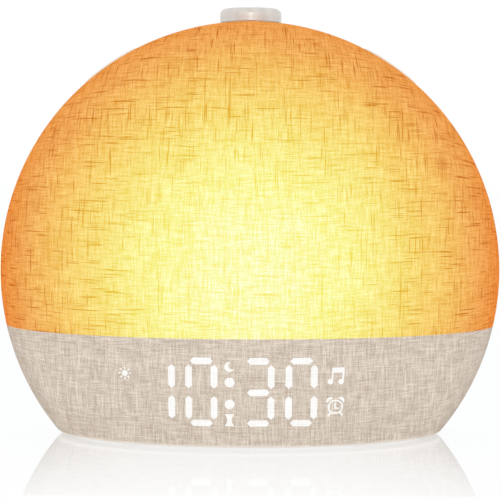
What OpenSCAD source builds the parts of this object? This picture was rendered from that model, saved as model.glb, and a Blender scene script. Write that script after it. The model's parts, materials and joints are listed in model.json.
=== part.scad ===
// Sunrise alarm clock: a linen-covered lamp dome on a display band, with a rear
// housing that carries a knob, four rim buttons, a speaker and a power socket.
// X runs to the right, the front faces -Y, Z is up, and the origin is the middle
// of the underside. Most modules draw in the body frame: x right, y up and
// z forward, measured from the dome's axis in the plane of its rim.

/* [Body] */
// Diameter of the fabric dome, across the front
dome_d = 184; // [164:1:222]
// How far the front bulges ahead of its rim
front_depth = 52; // [43:1:63]
// Height of the dome's axis above the table
centre_h = 60; // [50:1:64]
// Depth of the straight band of the rear housing, from the rim
band_depth = 25; // [25:0.5:30]
// Depth of the rounded part behind the band
back_depth = 15; // [12.5:0.5:18]
// Diameter of the flat face at the back
back_flat_d = 132; // [120:1:140]
// Height of the display band, from the underside to the lit part
band_h = 39.6; // [38:0.2:41]

/* [Walls] */
// Thickness of the linen cover
fabric_t = 0.8; // [0.6:0.1:1.2]
// Wall of the diffuser and of the display panel
front_wall = 2.2; // [1.8:0.1:2.7]
// Wall of the rear housing
rear_wall = 2.2; // [1.8:0.1:2.7]
// Floor of the front panel and of the rear housing
floor_wall = 4; // [3.4:0.1:4.8]
// Thickness of the chassis plate
chassis_t = 2; // [1.6:0.1:2.4]

/* [Base] */
// Width of the linen that is turned under the dome
fabric_turn = 6; // [5:0.5:7.5]
// Thickness of the base cover
base_t = 2; // [1.7:0.1:2.4]
// Height of the feet below the cover
foot_h = 1; // [0.8:0.1:1.6]
// Diameter of a foot
foot_d = 10; // [8:0.5:12]
// Diameter of the battery door
door_d = 26; // [25:0.5:31]
// Diameter of the coin cell
cell_d = 20; // [16:0.5:21]
// Thickness of the steel ballast plate
ballast_t = 3.5; // [2.5:0.1:4.2]

/* [Knob] */
// Diameter of the knob
knob_d = 23; // [21:0.5:24]
// Height of the knob's skirt and top
knob_h = 5.8; // [4.8:0.1:7]
// Depth of the knob's axis behind the rim
knob_back = 16; // [15.5:0.5:18]
// Travel of the knob when it is pressed
knob_travel = 0.5; // [0.3:0.05:0.6]
// Diameter of the encoder's shaft
shaft_d = 6; // [5:0.1:6.4]

/* [Buttons] */
// Length of a button along the rim
button_l = 24; // [20:0.5:26]
// Width of a button across the rim
button_w = 9; // [7.5:0.1:9.6]
// Depth of the buttons' middle behind the rim
button_back = 13; // [12.5:0.1:14]
// How far a button stands out of the rear housing
button_rise = 1.9; // [1.8:0.1:3]
// Travel of a button
button_travel = 0.5; // [0.3:0.05:0.6]
// Angle of the upper buttons from the top
upper_angle = 34.5; // [32:0.5:38]
// Angle of the side buttons from the top
lower_angle = 78; // [72:1:84]

/* [Display] */
// Height of a digit
digit_h = 25; // [21:0.2:26]
// Width of a digit
digit_w = 11.1; // [9.4:0.1:11.8]
// Width of a digit's stroke
stroke_w = 2.3; // [1.9:0.1:2.7]
// Distance between the two digits of a pair
digit_pitch = 14.7; // [13.8:0.1:15.5]
// Room that the colon adds between the pairs
colon_room = 4.9; // [4.6:0.1:5.8]
// Sideways place of the colon
colon_x = -6.7; // [-8:0.1:-5]
// How far the digits' middle stands above the middle of the display band
digit_lift = 0.8; // [0.4:0.1:1.4]

/* [Speaker] */
// Diameter of the speaker's flange
speaker_d = 54; // [46:1:60]
// Height of the speaker's middle above the floor of the housing
speaker_rise = 39; // [37.5:0.5:42]
// Diameter of one hole of the grille
grille_hole_d = 2.2; // [1.8:0.1:2.6]
// Distance between the holes of the grille
grille_pitch = 4.2; // [3.6:0.1:5]

/* [Hidden] */

// Colours
linen = [0.84, 0.79, 0.72];
milky = [0.96, 0.95, 0.91];
shell_white = [0.93, 0.92, 0.89];
satin_beige = [0.80, 0.76, 0.70];
soft_black = [0.12, 0.12, 0.13];
board_green = [0.10, 0.35, 0.22];
steel = [0.72, 0.73, 0.75];
brass = [0.80, 0.66, 0.36];
led_yellow = [0.96, 0.88, 0.52];
wire_red = [0.70, 0.16, 0.14];

// Small clearances
touch = 0.05;       // between faces that are pressed together
fit = 0.2;          // around a piece in its recess
slide_fit = 0.3;    // around a button in its opening
far = 400;          // larger than the whole clock
steps = 36;         // strips in a quarter of a curved profile
arc_steps = 10;     // strips in a rounded corner

// Body
dome_r = dome_d / 2;
rear_depth = band_depth + back_depth;
rim_y = (front_depth - rear_depth) / 2;
floor_u = foot_h - centre_h;                    // underside of the body
base_drop = centre_h - foot_h;                  // from the dome's axis to the underside
seam_u = band_h - base_drop;                    // line between lamp and display
rim_t = 2.6;                                    // straight rim behind the bulge
flange_w = 4.5;                                 // fabric turned in behind the rim
shell_gap = fabric_t + touch;                   // cover's outside to the front shells
shell_in = shell_gap + front_wall;              // cover's outside to their inside
chassis_front = -(rim_t + fabric_t);            // chassis plate's front face
chassis_back = chassis_front - chassis_t;
rear_edge = rim_t + fabric_t + 0.5;             // front edge of the rear housing
band_r = dome_r - 0.6;
band_in_r = band_r - rear_wall;
back_flat_r = back_flat_d / 2;
back_in = rear_depth - rear_wall;               // inside of the back wall
floor_top = floor_u + floor_wall;

// Base
base_x = sqrt(pow(dome_r, 2) - pow(base_drop, 2)) - fabric_turn;
base_f = front_depth * sqrt(1 - pow(base_drop / dome_r, 2)) - fabric_turn;
base_b = rear_depth - 4;
base_corner_r = 22;
ledge_w = 8;                                    // floor that the cover lies on
cover_top = floor_u + base_t;
foot_front = [base_x * 0.62, base_f * 0.58];
foot_back = [base_x - 17, 9 - base_b];
foot_sink = 0.6;

// Power socket
socket_w = 9;
socket_h = 3.2;
socket_l = 7.4;
socket_back = rear_depth - 0.3;
power_board_u = floor_top + 3.4;
power_board_t = 1.6;
power_half_w = 14;
power_l = 18;
power_board_f = back_in - 0.4 - power_l;        // its front edge, measured rearward
power_post_x = 10.5;
power_post_f = -(back_in - 6.8);

// Battery door, holder and cell, about an upright axis
door_t = 1.4;
door_r = door_d / 2;
collar_t = 1.2;                                 // wall of the collar around the holder
holder_h = 6.2;
holder_r = door_r - 0.8;
ear_r = 3.4;                                    // ear of the door, which takes its screw
door_x = base_x - ledge_w - door_r - 11;
door_f = holder_r + 1.2 - power_board_f;        // holder stands ahead of the power board
ear_x = door_x - door_r - 2.2;
door_screw_r = 0.9;
door_boss_r = 2;
door_boss_h = 3;

// Screws: radius of the shank, radius and height of the head
screw_r = 1.3;
head_r = 2.5;
head_h = 1.7;
pilot_r = screw_r + touch;
boss_r = 3.4;
small_r = 1;                                    // screws of the boards, lamp and speaker
small_head_r = 2;
small_head_t = 1.3;
small_pilot_r = small_r + touch;
small_hole_r = small_r + 0.1;
long_r = 1.5;                                   // screws from the back into the chassis

// Chassis
chassis_r = band_in_r - 0.6;
shell_boss_r = dome_r - shell_in - 6.5;         // circle of the front shells' bosses
diffuser_boss_angles = [-60, -20, 20, 60];
panel_boss_angles = [for (side = [-1, 1]) side * acos((floor_top + 7.7) / shell_boss_r)];
shell_boss_f = 10;
housing_post_x = (back_flat_r - 10) * sin(45);
housing_post_us = [floor_top + 15.4, housing_post_x];
housing_posts = [for (side = [-1, 1], u = housing_post_us) [side * housing_post_x, u]];
housing_head_f = -22;
post_end = chassis_back - 2.6;

// Lamp
lamp_r = 17.5;
lamp_u = seam_u + lamp_r + 2.9;                 // middle of the lamp board
lamp_t = 1.6;
lamp_f = chassis_front + lamp_t;                // front of the lamp board
dish_in_r = lamp_r + 0.8;
dish_out_r = shell_boss_r - boss_r - 3;
dish_t = 1.2;
dish_edge_r = shell_boss_r - boss_r - 0.6;      // keeps the dish off the bosses
baffle_t = 2;
baffle_back = chassis_front + touch;

// Display
digit_drop = (base_drop - seam_u) / 2 - digit_lift;
block_top = -digit_drop + digit_h / 2 + 1.4;
block_low = -digit_drop - digit_h / 2 - 1.2;
pair_x = (digit_pitch + colon_room) / 2;
digit_xs = [for (side = [-1, 1], far_one = [1, 0])
    colon_x + side * (pair_x + (side < 0 ? far_one : 1 - far_one) * digit_pitch)];
icon_right_x = colon_x + pair_x + digit_pitch + digit_w / 2 + 6.6;
day_sign_x = colon_x - pair_x - digit_pitch - digit_w / 2 - 6.4;
icon_rise = 5.6;                                // icon cells above and below the middle
day_sign_half_w = 4.6;                          // signs for the morning and the afternoon
day_sign_low = -digit_drop - icon_rise - 3.2;   // lower edge of their surround
block_left = colon_x - pair_x - digit_pitch - digit_w / 2 - 1.8;
block_right = icon_right_x + 4.6;
dot_r = 1.7;
dot_rise = digit_h / 2 - 8.6;                   // the colon's dots above and below the middle
level_gap = 0.5;                                // from a level stroke's end to the uprights' middle
upright_gap = 1.3;                              // from an upright's end to the level strokes' middle

// Display board: as far forward as the display's lowest corner lets it stand
panel_in_r = norm([day_sign_x - day_sign_half_w, day_sign_low]) + 3.2;
board_f = (front_depth - shell_in) * sqrt(1 - pow(panel_in_r / (dome_r - shell_in), 2));
board_t = 1.6;
board_r = panel_in_r - 1;
display_boss_r = board_r - 3.6;
board_top = seam_u - baffle_t / 2 - 2.6;
board_low = cover_top + ballast_t + 0.3;        // clear of the ballast
display_boss_angles = [for (side = [-1, 1], u = [board_top - 5.8, floor_top + 4.6])
    side * acos(u / display_boss_r)];

// Main board
speaker_u = floor_top + speaker_rise;           // middle of the speaker, below the board
main_half_w = housing_post_x - boss_r - 4.2;
main_post_h = 5;
main_front = chassis_back - main_post_h;
main_back = main_front - 1.6;
main_low = speaker_u + 20;
button_board_in = band_in_r - 11.4;             // inner face of the button boards
main_top = sqrt(pow(button_board_in - 3, 2) - pow(main_half_w, 2)) - 3;
main_post_in = 4;

// Speaker, seen from behind its flange
speaker_r = speaker_d / 2;
speaker_front = back_in - 1;                    // flange face, measured rearward
flange_t = 1.6;
cone_r = speaker_r - 5;
magnet_r = speaker_r * 0.5;
magnet_back = speaker_front - 10.6;
magnet_t = 7.5;
speaker_ear_r = speaker_r + 2.4;
gasket_t = 1;

// Knob and encoder, measured up from the axis
pad_top = band_r + 0.2;
pad_depth = rear_wall + 0.4;
pad_lip = 0.3;
pad_low = band_in_r - 2.9;
knob_low = pad_top + knob_travel + 0.2;
knob_top = knob_low + knob_h;
knob_r = knob_d / 2;
knob_wall = 1.5;
knob_round = 1.9;
shaft_r = shaft_d / 2;
run_fit = 0.05;
bushing_r = shaft_r + 0.6;
nut_flat_r = bushing_r + 1.7;
nut_t = 1.8;
nut_low = pad_low + 2;
encoder_h = 7.3;
encoder_w = 12;
encoder_low = pad_low - encoder_h;
rotor_r = shaft_r + 1.2;
rotor_low = encoder_low + 2.9;
rotor_h = 1.5;
plunger_r = 1.5;
plunger_h = 1.5;
knob_board_t = 1.6;
knob_post_x = 14;

// Buttons, measured outward from the axis
button_top = band_r + button_rise;
button_flange_t = 1;
button_flange_w = 1.5;
flange_top = sqrt(pow(band_in_r, 2) - pow(button_l / 2 + button_flange_w, 2)) - 0.15;
stem_r = 1.7;
switch_top = flange_top - button_flange_t - 4.6;
switch_w = 6;
stem_low = switch_top - 1.5;
stem_top = switch_top + 1.4;
button_board_t = 1.2;
button_post_x = 8;
button_post_f = -9.5;                           // from the button's middle
button_angles = [-upper_angle, upper_angle, -lower_angle, lower_angle];

// ---------- Frames and plain shapes ----------

// Body frame: x right, y up from the dome's axis, z forward from the rim
module body_frame() {
    translate([0, rim_y, centre_h]) rotate([90, 0, 0]) children();
}

// Turns the up direction to an angle from the top, clockwise as seen from the front
module at_angle(a) {
    rotate([0, 0, -a]) children();
}

// Stands a shape drawn along z on the up direction, at a depth behind the rim
module upright(u, f, x = 0) {
    translate([x, u, f]) rotate([-90, 0, 0]) children();
}

// A box from its two corners
module span(low, high) {
    translate(low) cube([for (i = [0:2]) high[i] - low[i]]);
}

// Everything above a height
module above(u) {
    span([-far, u, -far], [far, far, far]);
}

// Everything behind a depth
module behind(f) {
    span([-far, -far, -far], [far, far, -f]);
}

// A prism with round ends: its length along x, its width along y
module pill(l, w, h) {
    for (side = [-1, 1]) {
        translate([side * (l - w) / 2, 0, 0]) cylinder(d = w, h = h, $fn = 48);
    }
    translate([-(l - w) / 2, -w / 2, 0]) cube([l - w, w, h]);
}

// A cylinder with a smaller one taken out
module ring(r_out, r_in, h) {
    difference() {
        cylinder(r = r_out, h = h, $fn = 96);
        translate([0, 0, -1]) cylinder(r = r_in, h = h + 2, $fn = 96);
    }
}

// A pan-head screw along z: head below zero, shank above
module screw(l, r = screw_r, head = head_r, thick = head_h) {
    difference() {
        union() {
            translate([0, 0, -thick]) cylinder(r = head, h = thick, $fn = 32);
            translate([0, 0, -thick / 2]) cylinder(r = r, h = l + thick / 2, $fn = 32);
        }
        for (turn = [0, 90]) {
            rotate([0, 0, turn]) translate([-head * 0.6, -0.25, -thick - 1])
                cube([head * 1.2, 0.5, 1.7]);
        }
    }
}

// A small pan-head screw, as above
module small_screw(l) {
    screw(l, small_r, small_head_r, small_head_t);
}

// A route with its inner corners rounded: each corner becomes a short curve
function rounded(route, r) = [for (i = [0 : len(route) - 1])
    let (here = route[i])
    each i == 0 || i == len(route) - 1 ? [here] :
        let (back = route[i - 1] - here, on = route[i + 1] - here,
             cut = min(r, norm(back) / 2.5, norm(on) / 2.5),
             a = here + cut * back / norm(back), b = here + cut * on / norm(on))
        [for (t = [0 : 0.25 : 1]) (1 - t) * (1 - t) * a + 2 * t * (1 - t) * here + t * t * b]];

// The direction of a route at each of its points
function headings(route) = [for (i = [0 : len(route) - 1])
    let (v = route[min(i + 1, len(route) - 1)] - route[max(i - 1, 0)]) v / norm(v)];

// A side direction carried along the route, square to each heading
function sides(heads, side, i = 0) = i == len(heads) ? [] :
    let (v = side - (side * heads[i]) * heads[i], n = v / norm(v))
    concat([n], sides(heads, n, i + 1));

// A round wire through a list of points
module wire(points, d = 1.3, facets = 8) {
    route = rounded(points, 4);
    heads = headings(route);
    across = sides(heads, abs(heads[0][0]) < 0.5 ? [1, 0, 0] : [0, 1, 0]);
    rings = [for (i = [0 : len(route) - 1], k = [0 : facets - 1])
        let (a = 360 * k / facets)
        route[i] + d / 2 * (cos(a) * across[i] + sin(a) * cross(heads[i], across[i]))];
    last = (len(route) - 1) * facets;
    walls = [for (i = [0 : len(route) - 2], k = [0 : facets - 1])
        let (low = i * facets, next = (k + 1) % facets)
        [low + k, low + facets + k, low + facets + next, low + next]];
    polyhedron(points = rings, faces = concat(walls,
        [[for (k = [0 : facets - 1]) k], [for (k = [facets - 1 : -1 : 0]) last + k]]));
}

// ---------- Body profiles ----------

// Quarter ellipse from the rim to the axis
function bulge(r, d) = [for (i = [0 : steps]) [r * cos(90 * i / steps), d * sin(90 * i / steps)]];

// Solid front: an ellipsoid cap with a straight rim, taken in by a distance
module bowl(inset, back) {
    rotate_extrude($fn = 180)
        polygon(concat(bulge(dome_r - inset, front_depth - inset),
                       [[0, -back], [dome_r - inset, -back]]));
}

// Solid rear: a straight band that rounds over to a flat back, taken in by a distance
module drum(inset, front) {
    corner_r = band_r - back_flat_r - inset;
    corner_d = back_depth - inset;
    rotate_extrude($fn = 180)
        polygon(concat([[0, -front], [band_r - inset, -front]],
                       [for (i = [0 : steps]) [back_flat_r + corner_r * cos(90 * i / steps),
                                               -band_depth - corner_d * sin(90 * i / steps)]],
                       [[0, -band_depth - corner_d]]));
}

// Outline of the base cover, taken in by a distance: half an ellipse and two round corners
function base_points(inset) =
    let (x = base_x - inset, f = base_f - inset, b = base_b - inset, c = base_corner_r - inset)
    concat(
        [for (i = [0 : steps]) [x * cos(180 * i / steps), f * sin(180 * i / steps)]],
        [for (i = [0 : arc_steps]) [-x + c - c * cos(90 * i / arc_steps),
                                    -b + c - c * sin(90 * i / arc_steps)]],
        [for (i = [arc_steps : -1 : 0]) [x - c + c * cos(90 * i / arc_steps),
                                         -b + c - c * sin(90 * i / arc_steps)]]);

// Prism of the base outline between two heights. Its plan lies in x and z.
module base_prism(inset, low, high) {
    translate([0, high, 0]) rotate([90, 0, 0])
        linear_extrude(height = high - low) polygon(base_points(inset));
}

// ---------- Front ----------

module fabric_cover() {
    color(linen) body_frame() difference() {
        intersection() {
            bowl(0, rim_t + fabric_t);
            above(floor_u);
        }
        intersection() {
            bowl(fabric_t, rim_t);
            above(floor_u + fabric_t);
        }
        intersection() {
            translate([0, 0, -far / 2])
                cylinder(r = dome_r - flange_w, h = far / 2, $fn = 180);
            above(floor_u + fabric_t);
        }
        base_prism(-fit, floor_u - 1, floor_u + fabric_t + 1);
    }
}

// Front shell between its outer and inner surfaces
module front_shell() {
    difference() {
        bowl(shell_gap, rim_t - touch);
        bowl(shell_in, rim_t + 1);
    }
}

// A screw boss inside a front shell, tied to its wall by a rib
module shell_boss(a) {
    at_angle(a) intersection() {
        bowl(shell_gap + touch, rim_t + far);
        union() {
            translate([0, shell_boss_r, chassis_front + touch])
                cylinder(r = boss_r, h = shell_boss_f - chassis_front, $fn = 48);
            span([-1, shell_boss_r, -rim_t + touch],
                 [1, dome_r - shell_gap - 1, shell_boss_f]);
        }
    }
}

module shell_pilot(a) {
    at_angle(a) translate([0, shell_boss_r, chassis_front - 1])
        cylinder(r = pilot_r, h = shell_boss_f - 1, $fn = 32);
}

module light_diffuser() {
    color(milky) body_frame() difference() {
        union() {
            intersection() {
                front_shell();
                above(seam_u + touch);
            }
            for (a = diffuser_boss_angles) shell_boss(a);
        }
        for (a = diffuser_boss_angles) shell_pilot(a);
    }
}

// Bosses behind the display board, grown from the panel's inside
module display_boss(a) {
    at_angle(a) intersection() {
        bowl(shell_in - 1, 0);
        translate([0, display_boss_r, board_f]) cylinder(r = boss_r - 0.6, h = far, $fn = 48);
    }
}

// Room for the display block, open to the front
module block_window(grow) {
    span([block_left - grow, block_low - grow, board_f - 1],
         [block_right + grow, block_top + grow, far]);
    span([day_sign_x - day_sign_half_w - grow, day_sign_low - grow, board_f - 1],
         [block_left + 1, -digit_drop + icon_rise + 4.2 + grow, far]);
}

module display_panel() {
    color(satin_beige) body_frame() difference() {
        union() {
            difference() {
                intersection() {
                    bowl(shell_gap, rim_t - touch);
                    above(floor_u + fabric_t + touch);
                }
                intersection() {
                    bowl(shell_in, rim_t + 1);
                    above(floor_top);
                }
                above(seam_u - touch);
            }
            for (a = panel_boss_angles) shell_boss(a);
            for (a = display_boss_angles) display_boss(a);
        }
        base_prism(-fit, floor_u - 1, cover_top + touch);
        base_prism(ledge_w, floor_u - 1, floor_top + 1);
        block_window(fit);
        for (a = panel_boss_angles) shell_pilot(a);
        for (a = display_boss_angles) at_angle(a)
            translate([0, display_boss_r, board_f - 1]) cylinder(r = small_pilot_r, h = 3, $fn = 32);
        for (side = [-1, 1]) base_pilot(base_screw_front(side));
    }
}

// ---------- Lamp ----------

module light_baffle() {
    color(shell_white) body_frame() difference() {
        intersection() {
            bowl(shell_in + 0.15, -baffle_back);
            span([-far, seam_u - baffle_t / 2, -far], [far, seam_u + baffle_t / 2, far]);
        }
        // Room for the linen turned in behind the rim
        translate([0, 0, -rim_t - fabric_t]) difference() {
            cylinder(r = far, h = fabric_t + touch, $fn = 96);
            cylinder(r = dome_r - flange_w - fit, h = fabric_t + touch, $fn = 180);
        }
    }
}

// Stands the lamp's pieces on its axis
module lamp_axis() {
    translate([0, lamp_u, 0]) children();
}

module light_reflector() {
    color(milky) body_frame() intersection() {
        lamp_axis() rotate_extrude($fn = 120)
            polygon([[dish_in_r, chassis_front + touch], [dish_out_r, 5],
                     [dish_out_r + 1.5, 5], [dish_out_r + 1.5, 5 + dish_t],
                     [dish_out_r, 5 + dish_t], [dish_in_r, chassis_front + dish_t]]);
        above(seam_u + baffle_t / 2 + touch);
        translate([0, 0, -far / 2]) cylinder(r = dish_edge_r, h = far, $fn = 180);
    }
}

lamp_screw_angles = [45, 135, 225, 315];
lamp_screw_r = lamp_r - 3.2;

module lamp_board() {
    color(steel) body_frame() lamp_axis() difference() {
        translate([0, 0, lamp_f - lamp_t + touch]) cylinder(r = lamp_r, h = lamp_t - touch, $fn = 96);
        for (a = lamp_screw_angles) at_angle(a)
            translate([0, lamp_screw_r, lamp_f - lamp_t - 1])
                cylinder(r = small_hole_r, h = lamp_t + 2, $fn = 32);
    }
}

module lamp_leds() {
    led_w = 2.8;
    rows = [[0, 1], [5.2, 6], [9.6, 12]];       // radius and count
    color(led_yellow) body_frame() lamp_axis() for (row = rows, i = [0 : row[1] - 1]) {
        at_angle(i * 360 / row[1]) translate([-led_w / 2, row[0] - led_w / 2, lamp_f])
            cube([led_w, led_w, 0.8]);
    }
}

module lamp_screws() {
    color(steel) body_frame() lamp_axis() for (a = lamp_screw_angles) {
        at_angle(a) translate([0, lamp_screw_r, lamp_f]) rotate([180, 0, 0])
            small_screw(lamp_t + chassis_t - 0.2);
    }
}

// ---------- Display ----------

// One stroke of a digit, along x about its middle, with pointed ends
module stroke_outline(l, w) {
    tip = w * 0.44;
    polygon([[-l / 2, 0], [-l / 2 + tip, w / 2], [l / 2 - tip, w / 2],
             [l / 2, 0], [l / 2 - tip, -w / 2], [-l / 2 + tip, -w / 2]]);
}

// The seven strokes of a digit about its middle
module digit_outline() {
    cell_w = digit_w - stroke_w;
    cell_h = (digit_h - stroke_w) / 2;
    for (row = [-1, 0, 1]) {
        translate([0, row * cell_h]) stroke_outline(cell_w - 2 * level_gap, stroke_w);
    }
    for (side = [-1, 1], row = [-0.5, 0.5]) {
        translate([side * cell_w / 2, row * cell_h]) rotate([0, 0, 90])
            stroke_outline(cell_h - 2 * upright_gap, stroke_w);
    }
}

// Light wells of digits and colon, run forward from the board
module segment_wells() {
    for (x = digit_xs) {
        translate([x, -digit_drop, board_f]) linear_extrude(height = far) digit_outline();
    }
    for (side = [-1, 1]) {
        translate([colon_x, -digit_drop + side * dot_rise, board_f])
            cylinder(r = dot_r, h = far, $fn = 32);
    }
}

// Light wells of the signs: each is a place beside the digits' middle and a size. They are
// the morning and afternoon signs, the music and alarm signs, the snooze and timer signs.
icon_cells = [
    [day_sign_x, icon_rise + 0.5, 5.6, 5.2], [day_sign_x, -icon_rise + 0.6, 5.6, 5.2],
    [icon_right_x, icon_rise, 6.6, 6.6], [icon_right_x, -icon_rise + 0.1, 7.8, 7.4],
    [colon_x, digit_h / 2 - 3.2, 4.2, 4.2], [colon_x, 2.5 - digit_h / 2, 4, 5]
];

module icon_wells() {
    for (cell = icon_cells) {
        translate([cell[0] - cell[2] / 2, -digit_drop + cell[1] - cell[3] / 2, board_f])
            cube([cell[2], cell[3], far]);
    }
}

module display_block() {
    color(shell_white) body_frame() difference() {
        intersection() {
            bowl(shell_gap, 0);
            block_window(0);
            span([-far, -far, board_f], [far, far, far]);
        }
        segment_wells();
        icon_wells();
    }
}

module display_segments() {
    color(milky) body_frame() intersection() {
        bowl(shell_gap + touch, 0);
        segment_wells();
    }
}

module display_icon_guides() {
    color(milky) body_frame() intersection() {
        bowl(shell_gap + touch, 0);
        icon_wells();
    }
}

module display_board() {
    color(board_green) body_frame() difference() {
        intersection() {
            translate([0, 0, board_f - board_t]) cylinder(r = board_r, h = board_t, $fn = 180);
            span([-far, board_low, -far], [far, board_top, far]);
        }
        for (a = display_boss_angles) at_angle(a)
            translate([0, display_boss_r, board_f - board_t - 1])
                cylinder(r = small_hole_r, h = board_t + 2, $fn = 32);
    }
}

module display_screws() {
    color(steel) body_frame() for (a = display_boss_angles) {
        at_angle(a) translate([0, display_boss_r, board_f - board_t])
            small_screw(board_t + 1.6);
    }
}

// ---------- Chassis ----------

module chassis_plate() {
    color(shell_white) body_frame() difference() {
        union() {
            intersection() {
                translate([0, 0, chassis_back]) cylinder(r = chassis_r, h = chassis_t, $fn = 180);
                above(floor_top + fit);
            }
            for (p = housing_posts) {
                translate([p[0], p[1], post_end])
                    cylinder(r = boss_r + 0.6, h = chassis_back - post_end + 1, $fn = 48);
            }
            for (p = main_posts) {
                translate([p[0], p[1], main_front])
                    cylinder(r = boss_r - 0.4, h = main_post_h + 1, $fn = 48);
            }
        }
        for (p = housing_posts) {
            translate([p[0], p[1], post_end - 1]) cylinder(r = long_r + touch, h = far, $fn = 32);
        }
        for (p = main_posts) {
            translate([p[0], p[1], main_front - 1]) cylinder(r = small_pilot_r, h = far, $fn = 32);
        }
        for (a = concat(diffuser_boss_angles, panel_boss_angles)) at_angle(a)
            translate([0, shell_boss_r, chassis_back - 1])
                cylinder(r = screw_r + 0.2, h = chassis_t + 2, $fn = 32);
        lamp_axis() for (a = lamp_screw_angles) at_angle(a)
            translate([0, lamp_screw_r, chassis_back - 1])
                cylinder(r = small_pilot_r, h = chassis_t + 2, $fn = 32);
        // Room for the battery holder and the boss of its door's screw
        span([ear_x - door_boss_r - 0.5, floor_u, chassis_back - 1],
             [door_x + door_r + collar_t + 0.5, cover_top + holder_h + 1, chassis_front + 1]);
        // Passages for the lamp's and the display's wires
        span([lamp_wire_x - 2, lamp_wire_u - 2, chassis_back - 1],
             [lamp_wire_x + 2, lamp_wire_u + 2, chassis_front + 1]);
        span([display_wire_x - 3, display_wire_u - 3, chassis_back - 1],
             [display_wire_x + 3, display_wire_u + 3, chassis_front + 1]);
    }
}

module chassis_screws() {
    color(steel) body_frame() for (a = concat(diffuser_boss_angles, panel_boss_angles)) {
        at_angle(a) translate([0, shell_boss_r, chassis_back]) screw(chassis_t + 6);
    }
}

// ---------- Rear housing ----------

// Grille holes in rows about the speaker's middle
module grille_holes() {
    reach = cone_r - grille_hole_d / 2;
    rows = floor(reach / (grille_pitch * sin(60)));
    for (row = [-rows : rows], i = [-rows - 2 : rows + 2]) {
        x = (i + (row % 2 == 0 ? 0 : 0.5)) * grille_pitch;
        y = row * grille_pitch * sin(60);
        if (norm([x, y]) <= reach) {
            translate([x, speaker_u + y, -rear_depth - 1])
                cylinder(d = grille_hole_d, h = rear_wall + 2, $fn = 24);
        }
    }
}

speaker_ears = [for (a = [45, 135, 225, 315])
    [speaker_ear_r * sin(a), speaker_u + speaker_ear_r * cos(a)]];

module speaker_post(p) {
    translate([p[0], p[1], -back_in - 1]) cylinder(r = 2.6, h = back_in + 1 - speaker_front, $fn = 32);
}

// Tube for a long screw from the back into the chassis
module housing_tube(p) {
    translate([p[0], p[1], -back_in - 1])
        cylinder(r = boss_r + 1.2, h = back_in + 1 + post_end - touch, $fn = 48);
}

module housing_tube_bore(p) {
    translate([p[0], p[1], -rear_depth - 1])
        cylinder(r = head_r + 0.6, h = rear_depth + 1 + housing_head_f, $fn = 48);
    translate([p[0], p[1], -rear_depth]) cylinder(r = long_r + 0.2, h = rear_depth, $fn = 32);
}

module rear_housing() {
    color(shell_white) body_frame() difference() {
        union() {
            difference() {
                intersection() {
                    drum(0, rear_edge);
                    above(floor_u);
                }
                intersection() {
                    drum(rear_wall, rear_edge - 1);
                    above(floor_top);
                }
            }
            for (p = housing_posts) housing_tube(p);
            for (p = speaker_ears) speaker_post(p);
            // Pad under the knob, and the posts of its board
            upright(pad_low, -knob_back)
                cylinder(r = encoder_w / 2 + 2, h = pad_top - pad_low, $fn = 64);
            intersection() {
                upright(band_r - pad_depth, -knob_back)
                    cylinder(r = knob_r + pad_lip, h = pad_top - band_r + pad_depth, $fn = 96);
                behind(rear_edge);
            }
            for (side = [-1, 1]) {
                upright(encoder_low, -knob_back, side * knob_post_x)
                    cylinder(r = 2.4, h = band_in_r - encoder_low - 0.6, $fn = 32);
            }
            for (a = button_angles) at_angle(a) for (side = [-1, 1]) {
                upright(button_board_in + button_board_t, -button_back + button_post_f,
                        side * button_post_x)
                    cylinder(r = 2.2, h = band_in_r - button_board_in - button_board_t - 0.1, $fn = 32);
            }
            for (side = [-1, 1]) {
                upright(floor_top - 1, power_post_f, side * power_post_x)
                    cylinder(r = 2.4, h = power_board_u - floor_top + 1, $fn = 32);
            }
        }
        base_prism(-fit, floor_u - 1, cover_top + touch);
        base_prism(ledge_w, floor_u - 1, floor_top + 0.5);
        grille_holes();
        for (p = housing_posts) housing_tube_bore(p);
        for (p = speaker_ears) {
            translate([p[0], p[1], -back_in + 0.2]) cylinder(r = small_pilot_r, h = far, $fn = 32);
        }
        upright(pad_low - 1, -knob_back) cylinder(r = bushing_r + 0.1, h = far, $fn = 48);
        upright(nut_low, -knob_back) cylinder(r = nut_flat_r / cos(30) + 0.5, h = far, $fn = 48);
        for (side = [-1, 1]) {
            upright(encoder_low - 1, -knob_back, side * knob_post_x)
                cylinder(r = small_pilot_r, h = 6, $fn = 32);
            upright(power_board_u - 3, power_post_f, side * power_post_x)
                cylinder(r = small_pilot_r, h = 4, $fn = 32);
            base_pilot(base_screw_back(side));
        }
        for (a = button_angles) at_angle(a) {
            upright(band_in_r - 4, -button_back)
                pill(button_l + 2 * slide_fit, button_w + 2 * slide_fit, 20);
            for (side = [-1, 1]) {
                upright(button_board_in, -button_back + button_post_f, side * button_post_x)
                    cylinder(r = small_pilot_r, h = 6, $fn = 32);
            }
        }
        // Mouth of the power socket
        translate([0, socket_u, -rear_depth - 1])
            pill(socket_w + 2 * fit, socket_h + 2 * fit, rear_wall + 2);
    }
}

module housing_screws() {
    color(steel) body_frame() for (p = housing_posts) {
        translate([p[0], p[1], housing_head_f])
            screw(chassis_front - housing_head_f - 0.3, long_r, 2.8, 2);
    }
}

// ---------- Base ----------

function base_screw_front(side) = [side * (base_x - 9), 2.5];
function base_screw_back(side) = [side * (base_x - 4.6), -(rear_edge + 9)];

module base_pilot(p) {
    upright(floor_u - 1, p[1], p[0]) cylinder(r = pilot_r, h = floor_wall + 2, $fn = 32);
}

feet = [for (side = [-1, 1], place = [foot_front, foot_back]) [side * place[0], place[1]]];

// Plan of the battery door with its ear, grown by a distance
module door_plan(grow, h) {
    cylinder(r = door_r + grow, h = h, $fn = 96);
    translate([ear_x - door_x, 0, 0]) cylinder(r = ear_r + grow, h = h, $fn = 48);
}

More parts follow.
